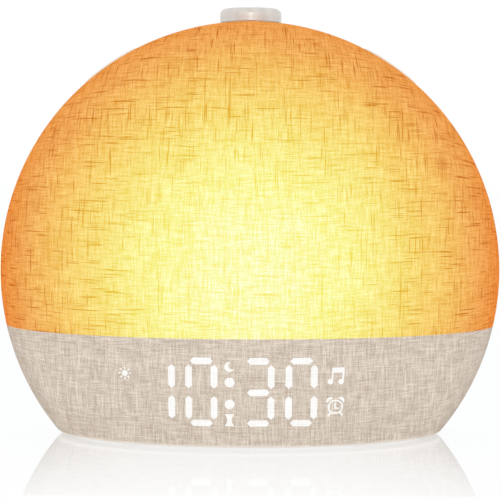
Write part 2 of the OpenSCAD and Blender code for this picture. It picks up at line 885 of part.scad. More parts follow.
module base_cover() {
    color(satin_beige) body_frame() difference() {
        union() {
            base_prism(0, floor_u, cover_top);
            // Collar that locates the battery holder, and the boss of the door's screw
            upright(cover_top - 0.5, door_f, door_x) ring(door_r + collar_t, holder_r + fit, 2);
            upright(cover_top - 0.5, door_f, ear_x)
                cylinder(r = door_boss_r, h = door_boss_h + 0.5, $fn = 32);
        }
        for (p = feet) {
            upright(floor_u - 1, p[1], p[0]) cylinder(d = foot_d + 0.2, h = foot_sink + 1, $fn = 48);
        }
        for (side = [-1, 1], p = [base_screw_front(side), base_screw_back(side)]) {
            upright(floor_u - 1, p[1], p[0]) cylinder(r = screw_r + 0.2, h = base_t + 2, $fn = 32);
            upright(floor_u - 1, p[1], p[0]) cylinder(r = head_r + 0.2, h = 2, $fn = 32);
        }
        upright(floor_u - 1, door_f, door_x) door_plan(fit, door_t + 1);
        upright(floor_u - 1, door_f, door_x) cylinder(r = holder_r - 1.6, h = base_t + 3, $fn = 96);
        upright(floor_u, door_f, ear_x)
            cylinder(r = door_screw_r + touch, h = base_t + door_boss_h - 0.6, $fn = 32);
    }
}

module base_screws() {
    color(steel) body_frame() {
        for (side = [-1, 1], p = [base_screw_front(side), base_screw_back(side)]) {
            upright(floor_u + 1, p[1], p[0]) screw(floor_wall - 1.4, screw_r, head_r, 0.9);
        }
    }
}

module rubber_feet() {
    color(soft_black) body_frame() for (p = feet) {
        upright(floor_u - foot_h, p[1], p[0]) {
            translate([0, 0, 0.4]) cylinder(d = foot_d, h = foot_h + foot_sink - 0.4, $fn = 64);
            cylinder(d1 = foot_d - 0.8, d2 = foot_d, h = 0.4, $fn = 64);
        }
    }
}

module battery_door() {
    color(satin_beige) body_frame() difference() {
        upright(floor_u, door_f, door_x) door_plan(0, door_t - touch);
        upright(floor_u - 1, door_f, ear_x) cylinder(r = door_screw_r + 0.15, h = base_t + 2, $fn = 32);
        upright(floor_u - 1, door_f, ear_x) cylinder(r = 1.8, h = 1.7, $fn = 32);
        // Finger groove
        upright(floor_u - 0.5, door_f, door_x + door_r - 5.5) rotate([0, 0, 90]) pill(12, 3, 1.1);
    }
}

module battery_door_screw() {
    color(steel) body_frame() upright(floor_u + 0.7, door_f, ear_x)
        screw(door_t + 1.6, door_screw_r, 1.6, 0.6);
}

module battery_holder() {
    color(soft_black) body_frame() upright(cover_top + touch, door_f, door_x) difference() {
        cylinder(r = holder_r, h = holder_h, $fn = 96);
        translate([0, 0, -1]) cylinder(d = cell_d + 0.8, h = holder_h - 0.2, $fn = 96);
    }
}

module coin_cell() {
    color(steel) body_frame() upright(cover_top + 0.2, door_f, door_x) {
        cylinder(d = cell_d, h = 2.6, $fn = 96);
        translate([0, 0, 2.6]) cylinder(d = cell_d - 2.4, h = 0.6, $fn = 96);
    }
}

module ballast_plate() {
    color(steel) body_frame() difference() {
        intersection() {
            base_prism(ledge_w + 1.5, cover_top + touch, cover_top + ballast_t);
            span([-(base_x - 16), -far, -1], [base_x - 16, far, far]);
        }
        upright(floor_u, door_f, door_x) cylinder(r = door_r + collar_t + 0.6, h = far, $fn = 96);
    }
}

// ---------- Electronics ----------

main_posts = [for (side = [-1, 1], u = [main_low + main_post_in, main_top - main_post_in])
    [side * (main_half_w - main_post_in), u]];
lamp_wire_x = -12;
lamp_wire_u = lamp_u - 4;
display_wire_x = 6 - main_half_w;
display_wire_u = seam_u - 6;
speaker_wire_x = 4;
power_wire_x = power_half_w - 2;
power_wire_f = -power_board_f - 1.4;
socket_u = power_board_u + power_board_t + socket_h / 2;

module main_board() {
    color(board_green) body_frame() difference() {
        span([-main_half_w, main_low, main_back], [main_half_w, main_top, main_front]);
        for (p = main_posts) {
            translate([p[0], p[1], main_back - 1]) cylinder(r = small_hole_r, h = 4, $fn = 32);
        }
    }
}

module board_chips() {
    color(soft_black) body_frame() {
        // Each is a corner, a width, a height and a thickness
        for (c = [[-6, 20, 12, 12, 1.4], [-24, 22, 8, 7, 1.2], [14, 20, 8, 10, 1.6],
                  [11, 36, 6, 4, 2.2]]) {
            translate([c[0], main_low + c[1], main_back - c[4]]) cube([c[2], c[3], c[4]]);
        }
    }
}

module board_capacitors() {
    color(soft_black) body_frame() {
        // Each is a place, a radius and a height
        for (p = [[8 - main_half_w, 38, 3.2, 8], [-15, 38, 3.2, 8], [main_half_w - 7, 38, 2.5, 6]]) {
            translate([p[0], main_low + p[1], main_back - p[3]])
                cylinder(r = p[2], h = p[3], $fn = 48);
        }
    }
}

// Wire sockets on the rear of the board: each is a place and a width
socket_row = main_low + 10;
power_plug_x = main_half_w - 12;
socket_places = [[display_wire_x, socket_row, 8], [lamp_wire_x, socket_row, 6],
                 [speaker_wire_x, socket_row, 6], [power_plug_x, socket_row, 8],
                 [0, main_top - 5, 10]];
plug_h = 4;

module board_connectors() {
    color(milky) body_frame() {
        for (s = socket_places) {
            span([s[0] - s[2] / 2, s[1] - 2.2, main_back - plug_h],
                 [s[0] + s[2] / 2, s[1] + 2.2, main_back]);
        }
    }
}

module main_board_screws() {
    color(steel) body_frame() for (p = main_posts) {
        translate([p[0], p[1], main_back]) small_screw(1.6 + main_post_h - 0.6);
    }
}

// ---------- Speaker ----------

// A ring about the speaker's axis from a profile of radius and distance rearward of the rim
module speaker_turned(points) {
    body_frame() translate([0, speaker_u, 0]) rotate_extrude($fn = 96)
        polygon([for (p = points) [p[0], -p[1]]]);
}

module speaker_frame() {
    color(soft_black) difference() {
        union() {
            speaker_turned([
                [speaker_r - 3.6, speaker_front], [speaker_r, speaker_front],
                [speaker_r, speaker_front - flange_t], [speaker_r - 2, speaker_front - flange_t],
                [magnet_r + 1.2, magnet_back], [0, magnet_back], [0, magnet_back + 1],
                [magnet_r + 0.6, magnet_back + 1], [speaker_r - 3.6, speaker_front - flange_t]
            ]);
            body_frame() for (p = speaker_ears) {
                translate([p[0], p[1], -speaker_front]) cylinder(r = 3, h = flange_t, $fn = 32);
            }
        }
        body_frame() for (p = speaker_ears) {
            translate([p[0], p[1], -speaker_front - 1])
                cylinder(r = small_hole_r, h = flange_t + 2, $fn = 32);
        }
    }
}

module speaker_magnet() {
    color(steel) speaker_turned([
        [0, magnet_back - touch], [magnet_r, magnet_back - touch],
        [magnet_r, magnet_back - magnet_t + 1.5], [magnet_r - 1, magnet_back - magnet_t],
        [0, magnet_back - magnet_t]
    ]);
}

module speaker_cone() {
    neck_r = magnet_r * 0.55;
    color([0.22, 0.21, 0.21]) speaker_turned([
        [cone_r - 1.6, speaker_front - 0.9], [cone_r - 1.6, speaker_front - 1.4],
        [neck_r, magnet_back + 3.4], [neck_r - 0.5, magnet_back + 3.4],
        [neck_r - 0.5, magnet_back + 4.4], [0, magnet_back + 5.4], [0, magnet_back + 5.9],
        [neck_r, magnet_back + 4.8]
    ]);
}

module speaker_surround() {
    color(soft_black) body_frame() translate([0, speaker_u, 0]) rotate_extrude($fn = 96)
        translate([cone_r - 0.1, -speaker_front + 1.2]) difference() {
            circle(r = 1.45, $fn = 32);
            circle(r = 1.0, $fn = 32);
            translate([-3, 0]) square([6, 3]);
        }
}

module speaker_gasket() {
    color([0.18, 0.18, 0.19]) body_frame() translate([0, speaker_u, -back_in + touch])
        ring(speaker_r - 0.4, speaker_r - 3.4, gasket_t - 2 * touch);
}

module speaker_screws() {
    color(steel) body_frame() for (p = speaker_ears) {
        translate([p[0], p[1], -speaker_front + flange_t]) rotate([180, 0, 0])
            small_screw(flange_t + 0.7);
    }
}

// ---------- Power ----------

module power_board() {
    color(board_green) body_frame() difference() {
        span([-power_half_w, power_board_u, -power_board_f - power_l],
             [power_half_w, power_board_u + power_board_t, -power_board_f]);
        for (side = [-1, 1]) {
            upright(power_board_u - 1, power_post_f, side * power_post_x)
                cylinder(r = small_hole_r, h = 4, $fn = 32);
        }
        // Room for the socket, which is let into the edge
        span([-socket_w / 2 - fit, power_board_u + power_board_t - 0.1, -far],
             [socket_w / 2 + fit, far, -socket_back + socket_l]);
    }
}

module power_board_screws() {
    color(steel) body_frame() for (side = [-1, 1]) {
        upright(power_board_u + power_board_t, power_post_f, side * power_post_x) rotate([180, 0, 0])
            small_screw(power_board_t + 1.6);
    }
}

module power_socket() {
    color(steel) body_frame() translate([0, socket_u, -socket_back]) difference() {
        pill(socket_w, socket_h, socket_l);
        translate([0, 0, -1]) pill(socket_w - 0.6, socket_h - 0.6, socket_l);
    }
}

module power_socket_tongue() {
    color(soft_black) body_frame()
        span([-3.3, socket_u - 0.35, -socket_back + 0.9],
             [3.3, socket_u + 0.35, -socket_back + socket_l - 1]);
}

// ---------- Knob and encoder ----------

module encoder_body() {
    color(steel) body_frame() difference() {
        span([-encoder_w / 2, encoder_low, -knob_back - encoder_w / 2],
             [encoder_w / 2, pad_low - touch, -knob_back + encoder_w / 2]);
        upright(rotor_low - knob_travel - 0.1, -knob_back)
            cylinder(r = rotor_r + 0.4, h = rotor_h + knob_travel + 1.2, $fn = 48);
        upright(rotor_low - plunger_h - knob_travel - 0.1, -knob_back)
            cylinder(r = plunger_r + 0.1, h = 3, $fn = 32);
        upright(encoder_low + 2, -knob_back) cylinder(r = shaft_r + 0.1, h = far, $fn = 48);
    }
}

module encoder_bushing() {
    color(brass) body_frame() upright(pad_low, -knob_back) difference() {
        cylinder(r = bushing_r, h = nut_low + nut_t + 0.8 - pad_low, $fn = 48);
        translate([0, 0, -1]) cylinder(r = shaft_r + run_fit, h = far, $fn = 48);
    }
}

module encoder_nut() {
    color(brass) body_frame() upright(nut_low, -knob_back) difference() {
        cylinder(r = nut_flat_r / cos(30), h = nut_t, $fn = 6);
        translate([0, 0, -1]) cylinder(r = bushing_r + touch, h = nut_t + 2, $fn = 48);
    }
}

module knob_board() {
    color(board_green) body_frame() difference() {
        span([-knob_post_x - 3, encoder_low - knob_board_t, -knob_back - 8],
             [knob_post_x + 3, encoder_low, -knob_back + 6.4]);
        for (side = [-1, 1]) {
            upright(encoder_low - 3, -knob_back, side * knob_post_x)
                cylinder(r = small_hole_r, h = 5, $fn = 32);
        }
    }
}

module knob_board_screws() {
    color(steel) body_frame() for (side = [-1, 1]) {
        upright(encoder_low - knob_board_t, -knob_back, side * knob_post_x)
            small_screw(knob_board_t + 3);
    }
}

// Presses the encoder's switch; it rises and falls with the shaft and doesn't turn
module knob_plunger() {
    color(soft_black) body_frame() upright(rotor_low - plunger_h, -knob_back)
        cylinder(r = plunger_r, h = plunger_h, $fn = 32);
}

module knob_shaft() {
    color(steel) body_frame() upright(rotor_low, -knob_back) {
        cylinder(r = rotor_r, h = rotor_h, $fn = 48);
        difference() {
            cylinder(r = shaft_r, h = knob_top - knob_wall - 0.4 - rotor_low, $fn = 48);
            // Flat that the knob grips
            translate([shaft_r - 0.8, -shaft_r, knob_low + 0.2 - rotor_low]) cube([2, shaft_d, far]);
        }
    }
}

module knob_cap() {
    bore_top = knob_top - knob_wall - 0.2;
    color(satin_beige) body_frame() upright(0, -knob_back) difference() {
        rotate_extrude($fn = 96) polygon(concat(
            [[0, knob_low], [knob_r - 0.3, knob_low], [knob_r, knob_low + 0.3]],
            [for (i = [0 : arc_steps]) [knob_r - knob_round * (1 - cos(90 * i / arc_steps)),
                                        knob_top - knob_round * (1 - sin(90 * i / arc_steps))]],
            [[0, knob_top]]));
        translate([0, 0, knob_low - 1]) difference() {
            cylinder(r = knob_r - knob_wall, h = knob_h + 1 - knob_wall, $fn = 96);
            translate([0, 0, 1.3]) cylinder(r = shaft_r + 1.6, h = knob_h, $fn = 48);
        }
        difference() {
            cylinder(r = shaft_r + 0.02, h = bore_top, $fn = 48);
            translate([shaft_r - 0.78, -shaft_r - 1, 0]) cube([3, shaft_d + 2, far]);
        }
    }
}

// ---------- Buttons ----------

module button_boards() {
    color(board_green) body_frame() for (a = button_angles) at_angle(a) difference() {
        span([-11, button_board_in, -button_back - 12],
             [11, button_board_in + button_board_t, -button_back + 4]);
        for (side = [-1, 1]) {
            upright(button_board_in - 1, -button_back + button_post_f, side * button_post_x)
                cylinder(r = small_hole_r, h = 4, $fn = 32);
        }
    }
}

module button_switches() {
    color(soft_black) body_frame() for (a = button_angles) at_angle(a) difference() {
        span([-switch_w / 2, button_board_in + button_board_t, -button_back - switch_w / 2],
             [switch_w / 2, switch_top, -button_back + switch_w / 2]);
        upright(stem_low - button_travel - 0.2, -button_back)
            cylinder(r = stem_r + 0.1, h = 4, $fn = 32);
    }
}

module button_board_screws() {
    color(steel) body_frame() for (a = button_angles, side = [-1, 1]) at_angle(a) {
        upright(button_board_in, -button_back + button_post_f, side * button_post_x)
            small_screw(button_board_t + 3);
    }
}

// Stem of a push switch, which the button's own stem rests on
module switch_stem(a) {
    color(milky) body_frame() at_angle(a) upright(stem_low, -button_back)
        cylinder(r = stem_r, h = stem_top - stem_low, $fn = 32);
}

// A long button with round ends whose top follows the rim
module rim_button(a) {
    color(satin_beige) body_frame() at_angle(a) {
        intersection() {
            upright(flange_top - 0.5, -button_back) pill(button_l, button_w, far);
            translate([0, 0, -far / 2]) cylinder(r = button_top, h = far, $fn = 180);
        }
        upright(flange_top - button_flange_t, -button_back)
            pill(button_l + 2 * button_flange_w, button_w + 2 * button_flange_w, button_flange_t);
        upright(stem_top, -button_back) cylinder(r = 2.2, h = flange_top - stem_top - 0.4, $fn = 32);
    }
}

// ---------- Wires ----------

// Each wire runs from its piece to a socket on the rear of the main board
module wire_harness() {
    pin_f = main_back - plug_h;                 // rear face of the board's wire sockets
    loop_f = pin_f - 3;
    harness_low = speaker_u + magnet_r + 3;
    color(wire_red) body_frame() for (side = [-1, 1]) {
        // Speaker
        x = speaker_wire_x + side;
        wire([[x, socket_row, pin_f], [x, socket_row, loop_f], [x, harness_low, loop_f],
              [x, harness_low, -(magnet_back - 2)]]);
    }
    color(soft_black) body_frame() {
        // Lamp, from the back of its board through the chassis
        wire([[lamp_wire_x, lamp_wire_u, chassis_front], [lamp_wire_x, lamp_wire_u, loop_f],
              [lamp_wire_x, socket_row, loop_f], [lamp_wire_x, socket_row, pin_f]]);
        // Display, under the baffle and through the chassis
        wire([[display_wire_x, display_wire_u, board_f - board_t],
              [display_wire_x, display_wire_u, loop_f], [display_wire_x, socket_row, loop_f],
              [display_wire_x, socket_row, pin_f]]);
        // Power
        wire([[power_wire_x, power_board_u + power_board_t, power_wire_f],
              [power_wire_x, power_board_u + power_board_t + 5, power_wire_f],
              [power_wire_x + 8, power_board_u + 14, loop_f],
              [power_plug_x, socket_row, loop_f], [power_plug_x, socket_row, pin_f]]);
        // Knob
        wire([[0, main_top - 5, pin_f], [0, main_top - 5, loop_f], [0, encoder_low - 6, -knob_back - 5],
              [0, encoder_low - knob_board_t, -knob_back - 5]]);
    }
}

// ---------- Assembly ----------

fabric_cover();
light_diffuser();
display_panel();
light_baffle();
light_reflector();
lamp_board();
lamp_leds();
lamp_screws();
display_block();
display_segments();
display_icon_guides();
display_board();
display_screws();
chassis_plate();
chassis_screws();
rear_housing();
housing_screws();
base_cover();
base_screws();
rubber_feet();
battery_door();
battery_door_screw();
battery_holder();
coin_cell();
ballast_plate();
main_board();
board_chips();
board_capacitors();
board_connectors();
main_board_screws();
speaker_frame();
speaker_magnet();
speaker_cone();
speaker_surround();
speaker_gasket();
speaker_screws();
power_board();
power_board_screws();
power_socket();
power_socket_tongue();
encoder_body();
encoder_bushing();
encoder_nut();
knob_board();
knob_board_screws();
button_boards();
button_switches();
button_board_screws();
wire_harness();
knob_plunger();
knob_shaft();
knob_cap();
rim_button(-upper_angle);  // upper_left_button
rim_button(upper_angle);  // upper_right_button
rim_button(-lower_angle);  // lower_left_button
rim_button(lower_angle);  // lower_right_button
switch_stem(-upper_angle);  // switch_stem_upper_left
switch_stem(upper_angle);  // switch_stem_upper_right
switch_stem(-lower_angle);  // switch_stem_lower_left
switch_stem(lower_angle);  // switch_stem_lower_right
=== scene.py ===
import json
import math

import bmesh
import bpy
import numpy as np
from mathutils import Matrix, Vector


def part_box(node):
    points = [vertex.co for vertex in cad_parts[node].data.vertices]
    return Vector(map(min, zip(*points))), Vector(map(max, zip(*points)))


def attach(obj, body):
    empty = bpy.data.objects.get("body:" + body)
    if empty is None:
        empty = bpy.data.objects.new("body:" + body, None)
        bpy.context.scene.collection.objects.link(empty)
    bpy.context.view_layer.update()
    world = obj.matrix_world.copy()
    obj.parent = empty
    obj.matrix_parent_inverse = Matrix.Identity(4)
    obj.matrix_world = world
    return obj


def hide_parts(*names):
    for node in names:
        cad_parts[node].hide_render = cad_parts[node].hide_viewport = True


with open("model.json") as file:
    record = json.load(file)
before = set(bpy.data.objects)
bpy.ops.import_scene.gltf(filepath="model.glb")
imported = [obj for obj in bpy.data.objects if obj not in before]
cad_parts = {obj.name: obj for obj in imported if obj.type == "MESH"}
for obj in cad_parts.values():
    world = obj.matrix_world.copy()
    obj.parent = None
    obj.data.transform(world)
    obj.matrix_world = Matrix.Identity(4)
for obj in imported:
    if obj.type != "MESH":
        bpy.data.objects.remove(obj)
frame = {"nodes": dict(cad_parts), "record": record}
bpy.context.view_layer.update()

# ---------- Sizes in metres, read from the frame or repeated from the part ----------

MM = 0.001
STRAIGHT_RIM = 3.4 * MM
SEAM_GAP = 0.05 * MM
CLOTH_T = 0.8 * MM
cover_low, cover_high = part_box("fabric_cover")
DOME_R = cover_high.x
AXIS_Z = round(cover_high.z - DOME_R, 4)
RIM_BACK_Y = cover_high.y
RIM_Y = RIM_BACK_Y - STRAIGHT_RIM
BULGE = RIM_Y - cover_low.y
FLOOR_Z = cover_low.z
SEAM_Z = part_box("light_diffuser")[0].z - SEAM_GAP
BASE_FRONT = RIM_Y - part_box("base_cover")[0].y


def dome_y(x, z):
    """Where the outside of the dome is, straight in front of a point of the rim's plane."""
    inside = 1 - (x * x + (z - AXIS_Z) ** 2) / DOME_R ** 2
    return RIM_Y - BULGE * math.sqrt(max(inside, 0))


# ---------- Finishes ----------

class Field:
    """A value that changes over a surface: one output socket of a finish."""

    def __init__(self, finish, socket):
        self.finish, self.socket = finish, socket

    def __add__(self, other):
        return self.finish.maths("ADD", self, other)

    def __sub__(self, other):
        return self.finish.maths("SUBTRACT", self, other)

    def __rsub__(self, other):
        return self.finish.maths("SUBTRACT", other, self)

    def __mul__(self, other):
        return self.finish.maths("MULTIPLY", self, other)

    def __truediv__(self, other):
        return self.finish.maths("DIVIDE", self, other)

    def __rtruediv__(self, other):
        return self.finish.maths("DIVIDE", other, self)

    __radd__, __rmul__ = __add__, __mul__


class Finish:
    """A node tree for a material, or for the world."""

    def __init__(self, owner):
        owner.use_nodes = True
        self.owner, self.tree = owner, owner.node_tree
        self.tree.nodes.clear()

    def node(self, kind, settings, sockets, output=0):
        made = self.tree.nodes.new(kind)
        for name, value in settings.items():
            if name == "stops":
                ramp = made.color_ramp
                for _ in range(len(value) - 2):
                    ramp.elements.new(0.5)
                for stop, (place, shade) in zip(ramp.elements, value):
                    stop.position, stop.color = place, shade
            else:
                setattr(made, name, value)
        for name, value in sockets.items():
            if isinstance(value, Field):
                self.tree.links.new(value.socket, made.inputs[name])
            else:
                made.inputs[name].default_value = value
        return Field(self, made.outputs[output]) if len(made.outputs) else None

    def maths(self, operation, *values):
        return self.node("ShaderNodeMath", {"operation": operation}, dict(enumerate(values)))

    def place(self):
        return self.node("ShaderNodeTexCoord", {}, {}, "Object")

    def sized(self, place, size):
        """A place counted in cells of that size."""
        size = tuple(size) if hasattr(size, "__len__") else (size,) * 3
        return self.node("ShaderNodeVectorMath", {"operation": "DIVIDE"}, {0: place, 1: size})

    def part(self, place, axis):
        return self.node("ShaderNodeSeparateXYZ", {}, {0: place}, axis)

    def joined(self, x, y, z=0.0):
        return self.node("ShaderNodeCombineXYZ", {}, {0: x, 1: y, 2: z})

    def noise(self, place, detail=1.0, rough=0.5):
        """Soft noise about nought, one cell to a unit."""
        return self.node("ShaderNodeTexNoise", {},
                         {"Vector": place, "Scale": 1.0, "Detail": detail, "Roughness": rough}) - 0.5

    def specks(self, place):
        return self.node("ShaderNodeTexVoronoi", {}, {"Vector": place, "Scale": 1.0})

    def random(self, value):
        """A number of its own for every whole step of a value."""
        return self.node("ShaderNodeTexWhiteNoise", {"noise_dimensions": "1D"},
                         {"W": self.maths("FLOOR", value)})

    def ranged(self, value, low, high, to_low=0.0, to_high=1.0):
        """A value carried over from one range into another, and held at its ends."""
        return self.node("ShaderNodeMapRange", {}, {"Value": value, 1: low, 2: high, 3: to_low, 4: to_high})

    def mixed(self, share, first, second, blend="MIX"):
        return self.node("ShaderNodeMix", {"data_type": "RGBA", "blend_type": blend},
                         {0: share, 6: first, 7: second}, 2)

    def times(self, first, second):
        """One colour multiplied by another."""
        return self.mixed(1.0, first, second, "MULTIPLY")

    def bumped(self, height, depth):
        return self.node("ShaderNodeBump", {}, {"Height": height, "Distance": depth})

    def done(self, **sockets):
        """Closes a material with the shader and its sockets."""
        named = {name.replace("_", " "): value for name, value in sockets.items()}
        shader = self.node("ShaderNodeBsdfPrincipled", {}, named)
        self.node("ShaderNodeOutputMaterial", {}, {"Surface": shader})
        return self.owner


def new_finish(name):
    return Finish(bpy.data.materials.new(name))


def colour(red, green, blue):
    """A screen colour as the shader's light values."""
    return (*[((c / 255 + 0.055) / 1.055) ** 2.4 if c > 10 else c / 3295 for c in (red, green, blue)], 1)


WARP_PITCH, WEFT_PITCH = 0.33, 0.35     # millimetres from one thread to the next
WARP_FIRST, WEFT_FIRST = 350, 800       # each direction counts from here, to draw numbers of its own


class Weave:
    """Woven linen: every thread with its own tone, which thread lies on top, and the slubs."""

    def __init__(self, finish):
        self.finish = finish
        stray = 0.8
        thread = finish.node("ShaderNodeAttribute", {"attribute_name": "thread"}, {}, "Vector")
        across = finish.part(thread, 0) + finish.noise(finish.sized(thread, (30, 44, 1)), 0) * stray
        along = finish.part(thread, 1) + finish.noise(finish.sized(thread, (52, 28, 1)), 0) * stray
        warp, warp_slub, warp_round = self.threads(across, along, WARP_PITCH, WARP_FIRST)
        weft, weft_slub, weft_round = self.threads(along, across, WEFT_PITCH, WEFT_FIRST)
        over = finish.ranged(self.over(across / WARP_PITCH, along / WEFT_PITCH), 0, 1, -0.5, 0.5)
        grain = finish.noise(finish.sized(thread, 0.45), 1)
        self.tone = warp * 0.55 + weft * 0.5 + over * (warp - weft) * 0.4 + grain * 0.5
        self.dark = finish.maths("MAXIMUM", finish.ranged(warp_slub, 0.15, 0.30),
                                 finish.ranged(weft_slub, 0.15, 0.30))
        self.pale = finish.maths("MAXIMUM", finish.ranged(warp_slub, -0.20, -0.30),
                                 finish.ranged(weft_slub, -0.24, -0.33))
        self.cloud = finish.noise(finish.sized(thread, 15), 2)
        self.height = finish.mixed(over + 0.5, warp_round, weft_round) * 0.5 + self.tone + self.pale * 0.4

    def threads(self, side, run, pitch, first):
        """The threads of one direction: their tone along them, their slubs and their round."""
        finish = self.finish
        count = side / pitch + first
        own = finish.random(count)
        start = run + own * 300
        tone = finish.noise(finish.joined(start / 6, own * 90), 1)
        slub = finish.noise(finish.joined(start / 11, own * 70 + 50), 0)
        return tone, slub, finish.maths("PINGPONG", count, 0.5)

    def over(self, warp_count, weft_count):
        """Nought and one by turns from one crossing to the next."""
        finish = self.finish
        crossing = finish.maths("FLOOR", warp_count) + finish.maths("FLOOR", weft_count)
        return finish.maths("PINGPONG", crossing, 1.0)


# The lamp's glow on the cloth: screen colours by the square of the distance from its middle
GLOW_Z = 63 * MM
GLOW = [
    (-0.15, (254, 254, 208)), (0.0, (251, 251, 182)), (0.1, (250, 247, 158)), (0.18, (249, 241, 145)),
    (0.295, (247, 228, 127)), (0.44, (246, 211, 111)), (0.617, (243, 189, 96)), (0.72, (241, 176, 90)),
    (0.843, (238, 163, 81)), (0.957, (236, 151, 70)), (1.1, (228, 136, 56)),
]
# Painted glow: above the seam the linen's base colour is darkened and tinted with the lamp's amber
PAINTED_GLOW_BASE = (0.20, 0.11, 0.04, 1)
PAINTED_GLOW_BASE_LIT = 0.96    # how much of that painted amber base colour the studio light throws back


def lamp_glow(finish, weave, spread):
    """The lamp's light through the cloth, less what the cloth's painted amber base colour throws back itself.
    """
    first, last = GLOW[0][0], GLOW[-1][0]
    stops = []
    for step, shade in GLOW:
        light = [max(level - PAINTED_GLOW_BASE_LIT * own, 0) for level, own in zip(colour(*shade)[:3], PAINTED_GLOW_BASE)]
        stops.append(((step - first) / (last - first), (*light, 1)))
    uneven = spread + weave.cloud * 0.12 + weave.tone * 0.12
    return finish.node("ShaderNodeValToRGB", {"stops": stops}, {0: finish.ranged(uneven, first, last)})


def lit_threads(finish, weave, spread, edge):
    """What the threads let through: more where they are thin, less at slubs and at the sides."""
    away = finish.ranged(spread, 0.02, 0.8)
    thin = finish.mixed(away, (1.05, 1.10, 1.80, 1), (1.18, 1.38, 1.85, 1))
    thick = finish.mixed(away, (0.95, 0.91, 0.25, 1), (0.83, 0.67, 0.33, 1))
    slub = finish.mixed(away, (0.96, 0.80, 0.14, 1), (0.64, 0.35, 0.17, 1))
    tint = finish.mixed(finish.ranged(weave.tone, -0.25, 0.25), thin, thick)
    tint = finish.mixed(weave.dark * finish.ranged(spread, 0.02, 0.3, 0.6, 1.0), tint, slub)
    tint = finish.mixed(weave.pale * 0.4, tint, thin)
    return finish.mixed(finish.ranged(edge, 0.7, 1.0), tint, finish.times(tint, (1.0, 0.84, 0.74, 1)))


def plain_threads(finish, weave, height, rim):
    """The unlit cloth: its threads and slubs, its fold painted pale as painted light, and its shaded rim."""
    cloth = finish.mixed(finish.ranged(weave.tone + weave.cloud * 0.04, -0.22, 0.22),
                         colour(236, 225, 212), colour(184, 168, 151))
    cloth = finish.mixed(weave.dark * 0.25, cloth, colour(152, 136, 122))
    cloth = finish.mixed(weave.pale * 0.55, cloth, colour(246, 238, 228))
    # Painted light: the fold under the front faces down into shade and is painted pale
    fold_painted_light = finish.ranged(height, FLOOR_Z + 0.4 * MM, FLOOR_Z + 1.3 * MM, 0.7, 0.0) \
        * finish.ranged(height, FLOOR_Z + 0.02 * MM, FLOOR_Z + 0.2 * MM)
    cloth = finish.mixed(fold_painted_light, cloth, colour(250, 243, 235))
    shaded = finish.ranged(rim, 0.84, 0.97, 0, 0.3) + finish.ranged(rim, 0.97, 0.997, 0, 0.3)
    return finish.mixed(shaded, cloth, finish.times(cloth, (0.6, 0.6, 0.6, 1)))


def woven_linen():
    """The cover's linen, lit from behind above the seam and plain below it."""
    finish = new_finish("woven_linen")
    weave = Weave(finish)
    place = finish.place()
    side, height = finish.part(place, 0) / DOME_R, finish.part(place, 2)
    over_lamp, over_axis = (height - GLOW_Z) / DOME_R, (height - AXIS_Z) / DOME_R
    spread, rim = side * side + over_lamp * over_lamp, side * side + over_axis * over_axis
    lamp = finish.ranged(height, SEAM_Z - 0.1 * MM, SEAM_Z + 0.1 * MM)
    tint = lit_threads(finish, weave, spread, side * side)
    cloth = plain_threads(finish, weave, height, rim)
    glow = lamp_glow(finish, weave, spread)
    return finish.done(
        # Above the seam: the painted amber glow base colour, times the threads' tint
        Base_Color=finish.mixed(lamp, cloth, finish.times(PAINTED_GLOW_BASE, tint)),
        Roughness=finish.ranged(weave.tone, -0.3, 0.3, 0.92, 0.76),
        Emission_Color=finish.mixed(lamp, (0, 0, 0, 1), finish.times(glow, tint)),
        Emission_Strength=1.0, Specular_IOR_Level=0.0,
        Normal=finish.bumped(weave.height, 0.05 * MM))


def display_light():
    """The clock's light where it comes through the cloth."""
    finish = new_finish("display_light")
    weave = Weave(finish)
    shade = finish.ranged(weave.tone, -0.2, 0.2)
    return finish.done(
        Base_Color=finish.mixed(shade, (0.31, 0.31, 0.31, 1), (0.27, 0.26, 0.25, 1)), Roughness=0.85,
        Emission_Color=finish.mixed(shade, (0.71, 0.71, 0.70, 1), (0.64, 0.63, 0.61, 1)),
        Emission_Strength=1.0, Specular_IOR_Level=0.1)


def light_guide():
    """Clear plastic that carries the display's light, slightly uneven."""
    finish = new_finish("light_guide")
    cloud = finish.noise(finish.sized(finish.place(), 3 * MM), 2)
    shade = finish.ranged(cloud, -0.25, 0.25)
    return finish.done(
        Base_Color=finish.mixed(shade, colour(226, 230, 232), colour(244, 246, 246)),
        Roughness=finish.ranged(cloud, -0.25, 0.25, 0.34, 0.22),
        Emission_Color=finish.mixed(shade, (0.52, 0.52, 0.50, 1), (0.62, 0.62, 0.61, 1)),
        Emission_Strength=1.0, Normal=finish.bumped(cloud, 0.02 * MM))


def moulded(name, shade, rough=0.5, grain=0.35, depth=0.02, mottle=0.06):
    """Moulded plastic with a fine spark-eroded texture."""
    finish = new_finish(name)
    place = finish.place()
    fine = finish.noise(finish.sized(place, grain * MM), 3, 0.6)
    broad = finish.noise(finish.sized(place, 22 * MM), 2)
    pale = [min(c * (1 + mottle), 1) for c in shade[:3]] + [1]
    deep = [c * (1 - mottle) for c in shade[:3]] + [1]
    return finish.done(
        Base_Color=finish.mixed(finish.ranged(broad + fine * 0.35, -0.25, 0.25), deep, pale),
        Roughness=finish.ranged(fine + broad, -0.3, 0.3, rough + 0.06, rough - 0.06),
        Specular_IOR_Level=0.4, Normal=finish.bumped(fine, depth * MM))


def turned_metal(name, shade, rough=0.3, line=0.12):
    """Metal with fine lines from rolling or turning."""
    finish = new_finish(name)
    place = finish.place()
    lines = finish.noise(finish.sized(place, (2.4 * MM, 2.0 * MM, line * MM)), 2)
    cloud = finish.noise(finish.sized(place, 5 * MM), 2)
    deep = [c * 0.82 for c in shade[:3]] + [1]
    return finish.done(
        Base_Color=finish.mixed(finish.ranged(lines + cloud, -0.3, 0.3), deep, shade),
        Roughness=finish.ranged(lines + cloud * 0.5, -0.3, 0.3, rough + 0.1, rough - 0.08),
        Metallic=1.0, Normal=finish.bumped(lines, 0.01 * MM))


